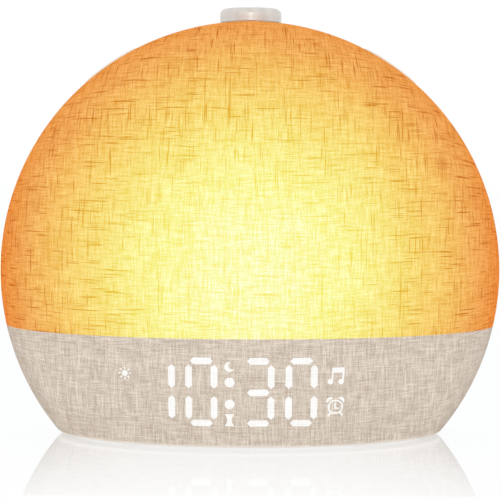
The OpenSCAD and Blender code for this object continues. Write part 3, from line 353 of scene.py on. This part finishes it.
def circuit_board():
    """Green solder mask over copper tracks."""
    finish = new_finish("circuit_board")
    place = finish.place()
    cells = finish.specks(finish.sized(place, 1.6 * MM))
    tracks = finish.ranged(cells, 0.44, 0.5)
    cloud = finish.noise(finish.sized(place, 6 * MM), 2)
    mask = finish.mixed(finish.ranged(cloud, -0.25, 0.25), colour(16, 82, 52), colour(26, 104, 66))
    return finish.done(Base_Color=finish.mixed(tracks * 0.7, mask, colour(58, 138, 84)),
                       Roughness=finish.ranged(cloud, -0.3, 0.3, 0.4, 0.26),
                       Normal=finish.bumped(tracks, 0.03 * MM))


def soft_foam(name, shade, cell, depth):
    """Foam or pressed paper: an open grain of cells."""
    finish = new_finish(name)
    cells = finish.specks(finish.sized(finish.place(), cell * MM))
    deep = [c * 0.55 for c in shade[:3]] + [1]
    return finish.done(Base_Color=finish.mixed(finish.ranged(cells, 0.1, 0.7), deep, shade), Roughness=0.92,
                       Specular_IOR_Level=0.15, Normal=finish.bumped(cells, depth * MM))


def lamp_phosphor():
    """The lamps' yellow phosphor under a clear coat."""
    finish = new_finish("lamp_phosphor")
    cloud = finish.noise(finish.sized(finish.place(), 0.5 * MM), 2)
    return finish.done(
        Base_Color=finish.mixed(finish.ranged(cloud, -0.3, 0.3), colour(238, 196, 74), colour(252, 226, 120)),
        Roughness=0.22, Coat_Weight=0.6, Normal=finish.bumped(cloud, 0.02 * MM))


def satin_pearl():
    """The knob's painted satin, with lathe lines round its side."""
    finish = new_finish("satin_pearl")
    place = finish.place()
    rings = finish.noise(finish.sized(place, (30 * MM, 30 * MM, 0.22 * MM)), 1)
    flake = finish.noise(finish.sized(place, 0.25 * MM), 2)
    broad = finish.noise(finish.sized(place, (3 * MM, 3 * MM, 9 * MM)), 1)
    tone = finish.ranged(rings * 0.6 + flake * 0.3 + broad, -0.3, 0.3)
    return finish.done(
        Base_Color=finish.mixed(tone, colour(206, 202, 196), colour(223, 219, 214)),
        Roughness=finish.ranged(flake + rings, -0.3, 0.3, 0.36, 0.30), Metallic=0.45,
        Normal=finish.bumped(rings + flake * 0.15, 0.012 * MM))


linen = woven_linen()
light = display_light()
pearl = satin_pearl()
button_plastic = moulded("button_plastic", colour(236, 229, 218), 0.42, 0.25, 0.012, 0.03)
FINISH_OF_SLOT = {
    "display_light": light_guide(),
    "diffuser": moulded("milky_diffuser", colour(244, 241, 232), 0.55, 0.5, 0.015, 0.02),
    "panel": moulded("panel_plastic", colour(226, 220, 210), 0.6),
    "housing": moulded("housing_plastic", colour(238, 235, 228), 0.52, 0.32, 0.03, 0.02),
    "white_inner": moulded("inner_white_plastic", colour(240, 238, 232), 0.6, 0.6, 0.02, 0.02),
    "knob": pearl,
    "button": button_plastic,
    "base": moulded("base_plastic", colour(228, 222, 212), 0.55, 0.4, 0.03, 0.03),
    "rubber": moulded("black_rubber", colour(52, 52, 54), 0.86, 0.3, 0.03, 0.12),
    "board": circuit_board(),
    "chip": moulded("chip_resin", colour(38, 38, 40), 0.5, 0.2, 0.01, 0.1),
    "socket_plastic": moulded("socket_plastic", colour(238, 234, 222), 0.45, 0.4, 0.01, 0.03),
    "black_plastic": moulded("black_plastic", colour(36, 36, 38), 0.45, 0.35, 0.02, 0.1),
    "steel": turned_metal("zinc_plated_steel", (0.58, 0.60, 0.63, 1)),
    "alu": turned_metal("board_aluminium", (0.72, 0.73, 0.74, 1), 0.35, 0.3),
    "brass": turned_metal("turned_brass", (0.78, 0.60, 0.28, 1), 0.25),
    "led": lamp_phosphor(),
    "cone": soft_foam("pressed_paper_cone", (0.05, 0.05, 0.05, 1), 0.5, 0.04),
    "foam": soft_foam("gasket_foam", (0.04, 0.04, 0.045, 1), 0.7, 0.12),
    "wire": moulded("wire_insulation", colour(150, 38, 32), 0.45, 0.8, 0.01, 0.08),
}
FINISH_OF_NODE = {"rubber_feet": moulded("feet_silicone", colour(232, 229, 223), 0.7, 0.3, 0.03, 0.03)}
for row in frame["record"]["subparts"]:
    chosen = FINISH_OF_NODE.get(row["node"]) or FINISH_OF_SLOT.get(row["material_slot"])
    if chosen:
        for place in frame["nodes"][row["node"]].material_slots:
            place.material = chosen


# ---------- Modelling helpers ----------

MERGED, ON_PLANE = 1e-7, 1e-6   # metres within which corners are one, or lie on a plane


def everything(bm):
    return bm.verts[:] + bm.edges[:] + bm.faces[:]


def corners_of(result):
    return [g for g in result["geom"] if isinstance(g, bmesh.types.BMVert)]


def edges_between(bm, corners):
    """The edges that join two of these corners."""
    ends = set(corners)
    return [e for e in bm.edges if e.verts[0] in ends and e.verts[1] in ends]


def sliced(bm, place, normal, clear_inner=False):
    """Cuts a mesh along a plane, and may clear what lies behind it."""
    bmesh.ops.bisect_plane(bm, geom=everything(bm), dist=MERGED, plane_co=place, plane_no=normal,
                           clear_inner=clear_inner)


def new_mesh(name, bm):
    """Closes a bmesh into a mesh."""
    mesh = bpy.data.meshes.new(name)
    bm.to_mesh(mesh)
    bm.free()
    return mesh


def new_object(name, data):
    """Puts a mesh, a lamp or a camera in the scene."""
    thing = bpy.data.objects.new(name, data)
    bpy.context.scene.collection.objects.link(thing)
    return thing


def made_piece(name, bm, finish, body="root", sharp=35):
    """Closes a mesh, and puts it on a body with its finish."""
    mesh = new_mesh(name, bm)
    mesh.polygons.foreach_set("use_smooth", [True] * len(mesh.polygons))
    mesh.set_sharp_from_angle(angle=math.radians(sharp))
    mesh.materials.append(finish)
    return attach(new_object(name, mesh), body)


# ---------- Linen cover ----------

def summed(steps, angles):
    """The running sum of steps that are given for each angle."""
    return np.concatenate([[0], np.cumsum((steps[1:] + steps[:-1]) / 2 * np.diff(angles))])


def cloth_lengths():
    """Distances from the axis, with the threads up to each and how far the cloth is drawn out there.

    The threads' spacing lies between what it is straight ahead and what it is on the slope, nearer to
    the slope towards the rim. There the cloth is also drawn outwards.
    """
    angles = np.linspace(0, math.pi / 2, 721)
    outward, ahead = np.sin(angles), DOME_R * np.cos(angles)
    sloping = np.hypot(ahead, BULGE * outward)
    leaning = 0.5 + 0.35 * outward ** 8
    counted = summed(sloping ** leaning * ahead ** (1 - leaning), angles)
    drawn = summed((sloping - ahead) * np.clip((outward - 0.86) / 0.1, 0, 0.5), angles)
    return DOME_R * outward, counted, drawn


RADII, COUNTED, DRAWN = cloth_lengths()


def thread_at(x, z):
    """A point of the dome in the cloth's own threads, in millimetres."""
    place = Vector((x, z - AXIS_Z, 0))
    level = Vector([math.copysign(float(np.interp(abs(d), RADII, COUNTED)), d) for d in place])
    return (level + place.normalized() * float(np.interp(place.length, RADII, DRAWN))) / MM


def domed_front():
    """The front of the cover, half of a pressed sphere, with the layer that holds its threads."""
    bm = bmesh.new()
    bmesh.ops.create_uvsphere(bm, u_segments=256, v_segments=128, radius=DOME_R)
    bmesh.ops.rotate(bm, verts=bm.verts, matrix=Matrix.Rotation(math.radians(90), 3, "X"))
    bmesh.ops.delete(bm, geom=[v for v in bm.verts if v.co.y > ON_PLANE], context="VERTS")
    bmesh.ops.scale(bm, verts=bm.verts, vec=(1, BULGE / DOME_R, 1))
    bmesh.ops.translate(bm, verts=bm.verts, vec=(0, RIM_Y, AXIS_Z))
    thread = bm.verts.layers.float_vector.new("thread")
    for v in bm.verts:
        v[thread] = thread_at(v.co.x, v.co.z)
    return bm, thread


def turned_behind(bm, thread):
    """Adds the straight rim, a tight fold and the strip turned in behind the shells."""
    fold_r, strip_w, depth = 0.9 * MM, 4.4 * MM, RIM_BACK_Y - RIM_Y
    path = [(0, 1.2 * MM), (0, depth - fold_r)]
    path += [(fold_r * (1 - math.cos(a)), depth - fold_r * (1 - math.sin(a)))
             for a in np.radians([22.5, 45, 67.5, 90])]
    path += [(fold_r + (strip_w - fold_r) * share, depth) for share in (0.35, 0.7, 1)]
    rim = [e for e in bm.edges if e.is_boundary]
    reach, before = 0, (0, 0)
    for inward, back in path:
        reach += math.dist(before, (inward, back))
        before = (inward, back)
        corners = corners_of(bmesh.ops.extrude_edge_only(bm, edges=rim))
        for v in corners:
            out = Vector((v.co.x, 0, v.co.z - AXIS_Z)).normalized()
            v.co = Vector((0, RIM_Y + back, AXIS_Z)) + out * (DOME_R - inward)
            at_rim = thread_at(out.x * DOME_R, AXIS_Z + out.z * DOME_R)
            v[thread] = at_rim + Vector((out.x, out.z, 0)) * reach / MM
        rim = edges_between(bm, corners)


TURN_H = 1.1 * MM       # height of the fold under the front
HEM_X, HEM_FRONT = 64.8 * MM, BASE_FRONT + 0.2 * MM     # where the hem ends, sideways and in front
FOLD_STEPS, HEM_STEPS = 5, 3


def fold_point(origin, out, share):
    """A point of the fold that leads from the wall to the underside."""
    radius = TURN_H / (1 + out.z)
    down = (out * out.z - Vector((0, 0, 1))).normalized()
    angle = share * (math.pi / 2 + math.asin(out.z))
    return origin - out * radius + (out * math.cos(angle) + down * math.sin(angle)) * radius


def hem_point(point):
    """Where the turned-in cloth ends, beside the base cover."""
    x, f = point.x, min(point.y - RIM_Y, 0)
    share = 1 / math.hypot(x / HEM_X, f / HEM_FRONT)
    return Vector((x * share, point.y if point.y > RIM_Y else RIM_Y + f * share, point.z))


def turned_under(bm, thread):
    """Cuts the cover flat near the base, and turns it under in a soft fold up to the base cover."""
    cut_z, back_y = FLOOR_Z + TURN_H, RIM_BACK_Y - ON_PLANE
    sliced(bm, (0, 0, cut_z), (0, 0, 1), clear_inner=True)
    lean, start = (bm.verts.layers.float_vector.new(name) for name in ("lean", "start"))
    cut = [e for e in bm.edges if e.is_boundary and all(abs(v.co.z - cut_z) < ON_PLANE for v in e.verts)]
    for v in {v for e in cut for v in e.verts}:
        x, f, u = v.co.x, min(v.co.y - RIM_Y, 0), v.co.z - AXIS_Z
        v[lean] = Vector((x / DOME_R ** 2, f / BULGE ** 2, u / DOME_R ** 2)).normalized()
        v[start] = v.co
    strip = [e for e in cut if all(v.co.y > back_y for v in e.verts)]
    wall = [e for e in cut if e not in set(strip)]
    corner = max((v for e in wall for v in e.verts if v.co.y > back_y), key=lambda v: v.co.x)
    corner_x, corner_lean = corner.co.x, Vector(corner[lean])
    for step in range(1, FOLD_STEPS + HEM_STEPS + 1):
        folded, hemmed = min(step / FOLD_STEPS, 1), max(step - FOLD_STEPS, 0) / HEM_STEPS
        corners = corners_of(bmesh.ops.extrude_edge_only(bm, edges=wall))
        for v in corners:
            was = v.co.copy()
            low = fold_point(Vector(v[start]), Vector(v[lean]), folded)
            v.co = low.lerp(hem_point(low), hemmed) if hemmed else low
            out = Vector((v[thread].x, v[thread].y, 0)).normalized()
            v[thread] = Vector(v[thread]) + out * (v.co - was).length / MM
        wall = edges_between(bm, corners)
        if hemmed:
            continue
        low = fold_point(Vector((corner_x, RIM_BACK_Y, cut_z)), corner_lean, folded)
        corners = corners_of(bmesh.ops.extrude_edge_only(bm, edges=strip))
        inner_x = min(abs(v[start].x) for v in corners)
        edge_x = inner_x + (HEM_X - inner_x) * step / FOLD_STEPS
        for v in corners:
            place = (corner_x - abs(v[start].x)) / (corner_x - inner_x)
            v.co = Vector((math.copysign(low.x + (edge_x - low.x) * place, v.co.x), RIM_BACK_Y, low.z))
        strip = edges_between(bm, corners)
    for layer in ("lean", "start"):
        bm.verts.layers.float_vector.remove(bm.verts.layers.float_vector[layer])


def mapped_flat(bm, thread):
    """Adds one flat map of the whole cloth, named OFBake, for baking its finish on."""
    edge = 0.01
    low, high = (Vector([pick(v[thread][axis] for v in bm.verts) for axis in (0, 1)]) for pick in (min, max))
    size, flat_map = high - low, bm.loops.layers.uv.new("OFBake")
    for corner in (corner for face in bm.faces for corner in face.loops):
        place = corner.vert[thread].xy - low
        corner[flat_map].uv = [edge + (1 - 2 * edge) * place[axis] / size[axis] for axis in (0, 1)]


def linen_cover():
    """The linen over the dome and the display, turned in behind the rim and under the base."""
    bm, thread = domed_front()
    turned_behind(bm, thread)
    turned_under(bm, thread)
    bmesh.ops.remove_doubles(bm, verts=bm.verts, dist=ON_PLANE)
    bmesh.ops.recalc_face_normals(bm, faces=bm.faces)
    if min(bm.faces, key=lambda face: face.calc_center_median().y).normal.y > 0:
        bmesh.ops.reverse_faces(bm, faces=bm.faces)
    mapped_flat(bm, thread)
    piece = made_piece("linen_cover", bm, linen, sharp=180)
    cloth = piece.modifiers.new("cloth thickness", "SOLIDIFY")
    cloth.thickness, cloth.offset, cloth.use_even_offset = CLOTH_T, -1, True
    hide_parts("fabric_cover")
    return piece


# ---------- Light of the display on the cloth ----------

def flat_shape(bm, outline):
    """A flat shape from its corners, in millimetres seen from the front."""
    bm.faces.new([bm.verts.new((x * MM, 0, z * MM)) for x, z in outline])


def flat_round(bm, x, z, width, height=None, sides=32):
    """A flat disc or oval."""
    disc = bmesh.ops.create_circle(bm, cap_ends=True, segments=sides, radius=0.5)["verts"]
    bmesh.ops.rotate(bm, verts=disc, matrix=Matrix.Rotation(math.radians(90), 3, "X"))
    bmesh.ops.scale(bm, verts=disc, vec=(width * MM, 1, (height or width) * MM))
    bmesh.ops.translate(bm, verts=disc, vec=(x * MM, 0, z * MM))


def flat_ring(bm, x, z, outer, inner):
    """A flat ring."""
    ends = [bm.verts.new(((x + radius) * MM, 0, z * MM)) for radius in (inner, outer)]
    edge = bm.edges.new(ends)
    bmesh.ops.spin(bm, geom=[*ends, edge], cent=(x * MM, 0, z * MM), axis=(0, -1, 0),
                   angle=2 * math.pi, steps=48, use_merge=True)


def flat_ray(bm, x, z, angle, shape):
    """A flat shape that points away from a middle, given along and across its direction."""
    a = math.radians(angle)
    flat_shape(bm, [(x + r * math.cos(a) - s * math.sin(a), z + r * math.sin(a) + s * math.cos(a))
                    for r, s in shape])


def arc(x, z, radius, angles):
    """Points on part of a circle."""
    return [(x + radius * math.cos(a), z + radius * math.sin(a)) for a in angles]


def draped(name, bm):
    """Lays flat shapes on the dome as a thin layer of light just proud of the threads."""
    proud, sunk, slice_w = 0.05 * MM, 0.1 * MM, 1.5 * MM
    bmesh.ops.remove_doubles(bm, verts=bm.verts, dist=MERGED)
    for axis in (0, 2):
        low, high = (pick(v.co[axis] for v in bm.verts) for pick in (min, max))
        normal = Vector((axis == 0, 0, axis == 2))
        for count in range(math.ceil(low / slice_w), math.floor(high / slice_w) + 1):
            sliced(bm, normal * count * slice_w, normal)
    thread = bm.verts.layers.float_vector.new("thread")
    for v in bm.verts:
        v.co.y = dome_y(v.co.x, v.co.z) - proud
        v[thread] = thread_at(v.co.x, v.co.z)
    back = corners_of(bmesh.ops.extrude_face_region(bm, geom=bm.faces[:]))
    bmesh.ops.translate(bm, verts=back, vec=(0, proud + sunk, 0))
    bmesh.ops.recalc_face_normals(bm, faces=bm.faces)
    return made_piece(name, bm, light)


# The digits and the colon, in millimetres
DIGIT_Z, DIGIT_X = 21.65, (-31.4, -16.65, 3.05, 17.95)
COLON_X, COLON_Z, COLON_D = -6.85, (25.3, 17.4), 3.45
CELL_W, CELL_H = 8.8, 11.25
STROKE_W, UPRIGHT_HALF, LEVEL_HALF = 2.35, 4.25, 3.9
STROKE_TIP, STROKE_ROUND = STROKE_W * 0.44, 0.12
STROKES = {  # each stroke's middle in the digit's cell, and whether it stands up
    "top": (0, 1, False), "middle": (0, 0, False), "bottom": (0, -1, False),
    "upper_left": (-0.5, 0.5, True), "lower_left": (-0.5, -0.5, True),
    "upper_right": (0.5, 0.5, True), "lower_right": (0.5, -0.5, True),
}
STROKES_OF = {
    0: ("top", "bottom", "upper_left", "lower_left", "upper_right", "lower_right"),
    1: ("upper_right", "lower_right"),
    3: ("top", "middle", "bottom", "upper_right", "lower_right"),
}


def digit(name, number, middle_x):
    """A lit digit of hexagonal strokes."""
    bm = bmesh.new()
    for stroke in STROKES_OF[number]:
        x, z, upright = STROKES[stroke]
        half, half_w = (UPRIGHT_HALF if upright else LEVEL_HALF), STROKE_W / 2
        shape = [(-half, 0), (-half + STROKE_TIP, half_w), (half - STROKE_TIP, half_w),
                 (half, 0), (half - STROKE_TIP, -half_w), (-half + STROKE_TIP, -half_w)]
        shape = [(-b, a) if upright else (a, b) for a, b in shape]
        at_x, at_z = middle_x + x * CELL_W, DIGIT_Z + z * CELL_H
        flat_shape(bm, [(at_x + a, at_z + b) for a, b in shape])
    bmesh.ops.bevel(bm, geom=bm.verts[:], affect="VERTICES", offset=STROKE_ROUND * MM, segments=2,
                    profile=0.5, material=-1)
    return draped(name, bm)


def colon_dots():
    """The two dots between the hours and the minutes."""
    bm = bmesh.new()
    for z in COLON_Z:
        flat_round(bm, COLON_X, z, COLON_D, sides=40)
    return draped("colon_dots", bm)


def sun_sign():
    """A small sun for the morning hours."""
    x, z = -43.4, 27.7
    bm = bmesh.new()
    flat_round(bm, x, z, 2.1)
    for ray in range(8):
        flat_ray(bm, x, z, 45 * ray, [(1.5, -0.26), (2.35, -0.2), (2.35, 0.2), (1.5, 0.26)])
    return draped("sun_sign", bm)


def moon_sign():
    """A small crescent moon for the snooze."""
    x, z = -6.9, 30.9
    bm = bmesh.new()
    outer = arc(x, z, 1.8, np.radians(np.linspace(70, 340, 28)))
    inner_x, inner_z, inner_r = x + 0.95, z + 0.45, 1.42
    first = math.atan2(outer[-1][1] - inner_z, outer[-1][0] - inner_x)
    last = math.atan2(outer[0][1] - inner_z, outer[0][0] - inner_x)
    inner = arc(inner_x, inner_z, inner_r, np.linspace(first, last - 2 * math.pi, 22)[1:-1])
    flat_shape(bm, outer + inner)
    return draped("moon_sign", bm)


def hourglass_sign():
    """An hourglass: two bars and a waisted glass."""
    x, z, bar_half, glass_half = -6.95, 11.6, 1.55, 1.8
    bm = bmesh.new()
    for side in (-1, 1):
        flat_shape(bm, [(x - bar_half, z + side * 2.25), (x + bar_half, z + side * 2.25),
                        (x + bar_half, z + side * 1.75), (x - bar_half, z + side * 1.75)])
    heights = np.linspace(-glass_half, glass_half, 13)
    flat_shape(bm, [(x + 0.74 + 0.6 * abs(h / glass_half) ** 1.5, z + h) for h in heights]
               + [(x - 0.74 - 0.6 * abs(h / glass_half) ** 1.5, z + h) for h in heights[::-1]])
    return draped("hourglass_sign", bm)


def note_sign():
    """Two quavers under one beam."""
    x, z, foot_z = 30.0, 27.2, -1.9
    bm = bmesh.new()
    flat_shape(bm, [(x - 1.45, z + 3.15), (x + 2.9, z + 3.25), (x + 2.85, z + 1.4), (x - 1.5, z + 1.3)])
    for foot, head, head_z, width in ((-1.65, -1.5, 1.4, 0.55), (2.0, 2.15, 1.5, 0.7)):
        flat_shape(bm, [(x + foot, z + foot_z), (x + head, z + head_z), (x + head + width, z + head_z),
                        (x + foot + width, z + foot_z)])
    flat_round(bm, x - 2.05, z - 1.85, 1.85, 1.95)
    flat_round(bm, x + 1.75, z - 1.85, 1.9, 1.85)
    return draped("note_sign", bm)


def alarm_sign():
    """A twin-bell alarm clock."""
    x, z = 29.9, 16.15
    bell_out, bell_r, bell_cut_r = 2.91, 1.35, 3.2
    bm = bmesh.new()
    flat_ring(bm, x, z, 2.68, 2.12)
    for side in (-1, 1):
        middle = math.radians(90 - side * 39)
        bell_x, bell_z = x + bell_out * math.cos(middle), z + bell_out * math.sin(middle)
        flat_shape(bm, arc(bell_x, bell_z, bell_r, middle + np.radians(np.linspace(-90, 90, 19)))
                   + arc(x, z, bell_cut_r, middle + np.radians(np.linspace(25, -25, 12))))
        flat_ray(bm, x, z, 270 + side * 38, [(2.55, -0.34), (4.2, -0.34), (4.2, 0.34), (2.55, 0.34)])
    for tick in range(4):
        flat_ray(bm, x, z, 90 * tick, [(1.5, 0), (2.2, -0.3), (2.2, 0.3)])
    flat_shape(bm, [(x - 0.42, z - 0.75), (x - 0.42, z + 1.45), (x + 0.1, z + 1.45), (x + 0.1, z - 0.25),
                    (x + 1.35, z - 0.25), (x + 1.35, z - 0.75)])
    return draped("alarm_sign", bm)


# ---------- Knob and buttons ----------

def turning_knob():
    """The satin knob: a hollow turned cap with fine grooves round its side."""
    low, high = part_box("knob_cap")
    knob_r, middle_y = high.x, (low.y + high.y) / 2
    shoulder, wall, chamfer, crown_h = 2.3 * MM, 1.5 * MM, 0.25 * MM, 0.15 * MM
    groove_w, groove_d, plain_low, plain_high = 0.56 * MM, 0.03 * MM, 0.5 * MM, 0.2 * MM
    top_z = high.z - 0.4 * MM
    shoulder_z = top_z - crown_h - shoulder
    side = []
    grooves = int((shoulder_z - low.z - plain_low) / groove_w)
    for count in range(grooves):
        z = shoulder_z - (grooves - count) * groove_w - plain_high
        side += [(knob_r, z + groove_w * 0.15), (knob_r, z + groove_w * 0.6),
                 (knob_r - groove_d, z + groove_w * 0.88)]
    turn = [(knob_r - shoulder * (1 - math.cos(a)), shoulder_z + shoulder * math.sin(a))
            for a in np.radians(np.linspace(0, 84, 9))]
    crown = [(r * (knob_r - shoulder), top_z - crown_h * r ** 2) for r in (0.85, 0.6, 0.3, 0)]
    profile = [(0, top_z - wall), (knob_r - wall, top_z - wall), (knob_r - wall, low.z),
               (knob_r - chamfer, low.z), (knob_r, low.z + chamfer)] + side + turn + crown
    bm = bmesh.new()
    corners = [bm.verts.new((r, middle_y, z)) for r, z in profile]
    edges = [bm.edges.new(pair) for pair in zip(corners, corners[1:])]
    bmesh.ops.spin(bm, geom=corners + edges, cent=(0, middle_y, 0), axis=(0, 0, 1), angle=2 * math.pi,
                   steps=160, use_merge=True)
    bmesh.ops.remove_doubles(bm, verts=bm.verts, dist=MERGED)
    bmesh.ops.recalc_face_normals(bm, faces=bm.faces)
    piece = made_piece("turning_knob", bm, pearl, "knob_body", 50)
    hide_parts("knob_cap")
    return piece


def pill(bm, length, width, z):
    """A flat outline with round ends, capped, at one height."""
    sides = 48
    ring = bmesh.ops.create_circle(bm, cap_ends=True, segments=sides, radius=width / 2,
                                   matrix=Matrix.Rotation(math.pi / sides, 4, "Z"))["verts"]
    for v in ring:
        v.co += Vector((math.copysign((length - width) / 2, v.co.x), 0, z))


def raised(bm, faces, rise):
    """Extrudes faces upwards and gives the new corners."""
    corners = corners_of(bmesh.ops.extrude_face_region(bm, geom=faces))
    bmesh.ops.translate(bm, verts=corners, vec=(0, 0, rise))
    return corners


# How far round the rim each button sits, in degrees from the top
BUTTON_ANGLES = {"upper_left": -34.5, "upper_right": 34.5, "lower_left": -78, "lower_right": 78}


def button_top(length, width, low_r):
    """The part of a button that stands out of the rim: curved along the rim, with a round edge."""
    top_r, slice_w, edge_r = 93.3 * MM, 1.5 * MM, 0.8 * MM
    bm = bmesh.new()
    pill(bm, length, width, low_r)
    for count in range(-7, 8):
        sliced(bm, (count * slice_w, 0, 0), (1, 0, 0))
    for v in raised(bm, bm.faces[:], MM):
        v.co.z = math.sqrt(top_r ** 2 - v.co.x ** 2)
    bmesh.ops.recalc_face_normals(bm, faces=bm.faces)
    top_edge = [e for e in bm.edges
                if len(e.link_faces) == 2 and min(v.co.z for v in e.verts) > low_r + MM
                and abs(e.link_faces[0].normal.z - e.link_faces[1].normal.z) > 0.5]
    bmesh.ops.bevel(bm, geom=top_edge, affect="EDGES", offset=edge_r, segments=4, profile=0.5, material=-1)
    return new_mesh("button_top", bm)


def rim_button(name, angle):
    """A long rounded button, with the flange and the stem that hold it inside the rim."""
    flange_top, flange_t, stem_low, stem_r = 88.0225 * MM, 1.0 * MM, 83.8225 * MM, 2.2 * MM
    length, width, flange_w, depth_y = 24 * MM, 9 * MM, 1.5 * MM, 19 * MM
    bm = bmesh.new()
    pill(bm, length + 2 * flange_w, width + 2 * flange_w, flange_top - flange_t)
    raised(bm, bm.faces[:], flange_t)
    stem = bmesh.ops.create_cone(bm, cap_ends=True, segments=32, radius1=stem_r, radius2=stem_r,
                                 depth=flange_top - flange_t - stem_low)["verts"]
    bmesh.ops.translate(bm, verts=stem, vec=(0, 0, (flange_top - flange_t + stem_low) / 2))
    top = button_top(length, width, flange_top)
    bm.from_mesh(top)
    bpy.data.meshes.remove(top)
    bmesh.ops.translate(bm, verts=bm.verts, vec=(0, depth_y, AXIS_Z))
    bmesh.ops.rotate(bm, verts=bm.verts, cent=(0, 0, AXIS_Z),
                     matrix=Matrix.Rotation(math.radians(angle), 3, "Y"))
    bmesh.ops.recalc_face_normals(bm, faces=bm.faces)
    piece = made_piece(name + "_cap", bm, button_plastic, name + "_key")
    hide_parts(name + "_button")
    return piece


# ---------- The pieces ----------

cover = linen_cover()
marks = [digit("hour_tens", 1, DIGIT_X[0]), digit("hour_ones", 0, DIGIT_X[1]),
         digit("minute_tens", 3, DIGIT_X[2]), digit("minute_ones", 0, DIGIT_X[3]),
         colon_dots(), sun_sign(), moon_sign(), hourglass_sign(), note_sign(), alarm_sign()]
turning_knob()
for key, turn in BUTTON_ANGLES.items():
    rim_button(key, turn)


# ---------- Floor, light and camera ----------

WHITE = (1, 1, 1, 1)


def studio_floor():
    """A white table lit from within, with a faint shadow and mirror image of the clock."""
    bm = bmesh.new()
    bmesh.ops.create_grid(bm, x_segments=1, y_segments=1, size=3)
    mesh = new_mesh("studio_floor", bm)
    finish = new_finish("white_sweep")
    seen = finish.node("ShaderNodeLightPath", {}, {}, "Is Camera Ray")
    side, ahead = (finish.part(finish.place(), axis) for axis in (0, 1))
    near = finish.ranged(ahead, -0.108, -0.03, 0.07, 0.22) * finish.ranged(ahead, -0.113, -0.109) \
        * finish.ranged(side * side, 0.001, 0.005, 1.1, 2.0)
    matt = finish.node("ShaderNodeBsdfDiffuse", {}, {"Color": WHITE})
    white = finish.node("ShaderNodeEmission", {}, {"Color": WHITE, "Strength": 1.0})
    mirror = finish.node("ShaderNodeBsdfGlossy", {}, {"Color": (0.975, 0.99, 1, 1), "Roughness": 0.02})
    plain = finish.node("ShaderNodeMixShader", {}, {0: 0.9, 1: matt, 2: white})
    shown = finish.node("ShaderNodeMixShader", {}, {0: near, 1: plain, 2: mirror})
    lit = finish.node("ShaderNodeMixShader", {}, {0: 0.6, 1: matt, 2: white})
    surface = finish.node("ShaderNodeMixShader", {}, {0: seen, 1: lit, 2: shown})
    finish.node("ShaderNodeOutputMaterial", {}, {"Surface": surface})
    mesh.materials.append(finish.owner)
    new_object("studio_floor", mesh)


def studio_world():
    """Even white light; what is seen straight or in a reflection is white."""
    level = 0.93
    world = bpy.data.worlds.new("studio")
    bpy.context.scene.world = world
    finish = Finish(world)
    rays = [finish.node("ShaderNodeLightPath", {}, {}, name)
            for name in ("Is Camera Ray", "Is Glossy Ray", "Is Transmission Ray")]
    seen = finish.ranged(rays[0] + rays[1] + rays[2], 0, 1)
    light = finish.node("ShaderNodeBackground", {}, {"Color": WHITE, "Strength": level + seen * (1 - level)})
    finish.node("ShaderNodeOutputWorld", {}, {"Surface": light})


def soft_lamp(name, place, target, width, height, power):
    """A rectangular lamp that faces a point."""
    data = bpy.data.lights.new(name, "AREA")
    data.shape, data.size, data.size_y, data.energy = "RECTANGLE", width, height, power
    lamp = new_object(name, data)
    lamp.location = place
    lamp.rotation_euler = (Vector(target) - Vector(place)).to_track_quat("-Z", "Y").to_euler()


def studio_camera(place, pitch, roll, lens):
    """A camera that looks towards +Y, tilted down and rolled by so many degrees."""
    data = bpy.data.cameras.new("eye")
    data.lens, data.sensor_width = lens, 36
    camera = new_object("eye", data)
    camera.location = place
    camera.rotation_euler = (Matrix.Rotation(math.radians(90 - pitch), 3, "X")
                             @ Matrix.Rotation(math.radians(roll), 3, "Z")).to_euler()
    bpy.context.scene.camera = camera


studio_floor()
studio_world()
soft_lamp("key", place=(-0.2, -0.95, 0.75), target=(0, 0, 0.07), width=0.8, height=0.8, power=0.55)
soft_lamp("strip", place=(0.0, -0.74, 0.22), target=(0, 0, 0.155), width=0.2, height=0.16, power=0.42)
studio_camera(place=(0, -0.658, 0.1117), pitch=3.77, roll=0.2, lens=129.6)
bpy.context.scene.view_settings.view_transform = "Standard"

bpy.context.view_layer.update()
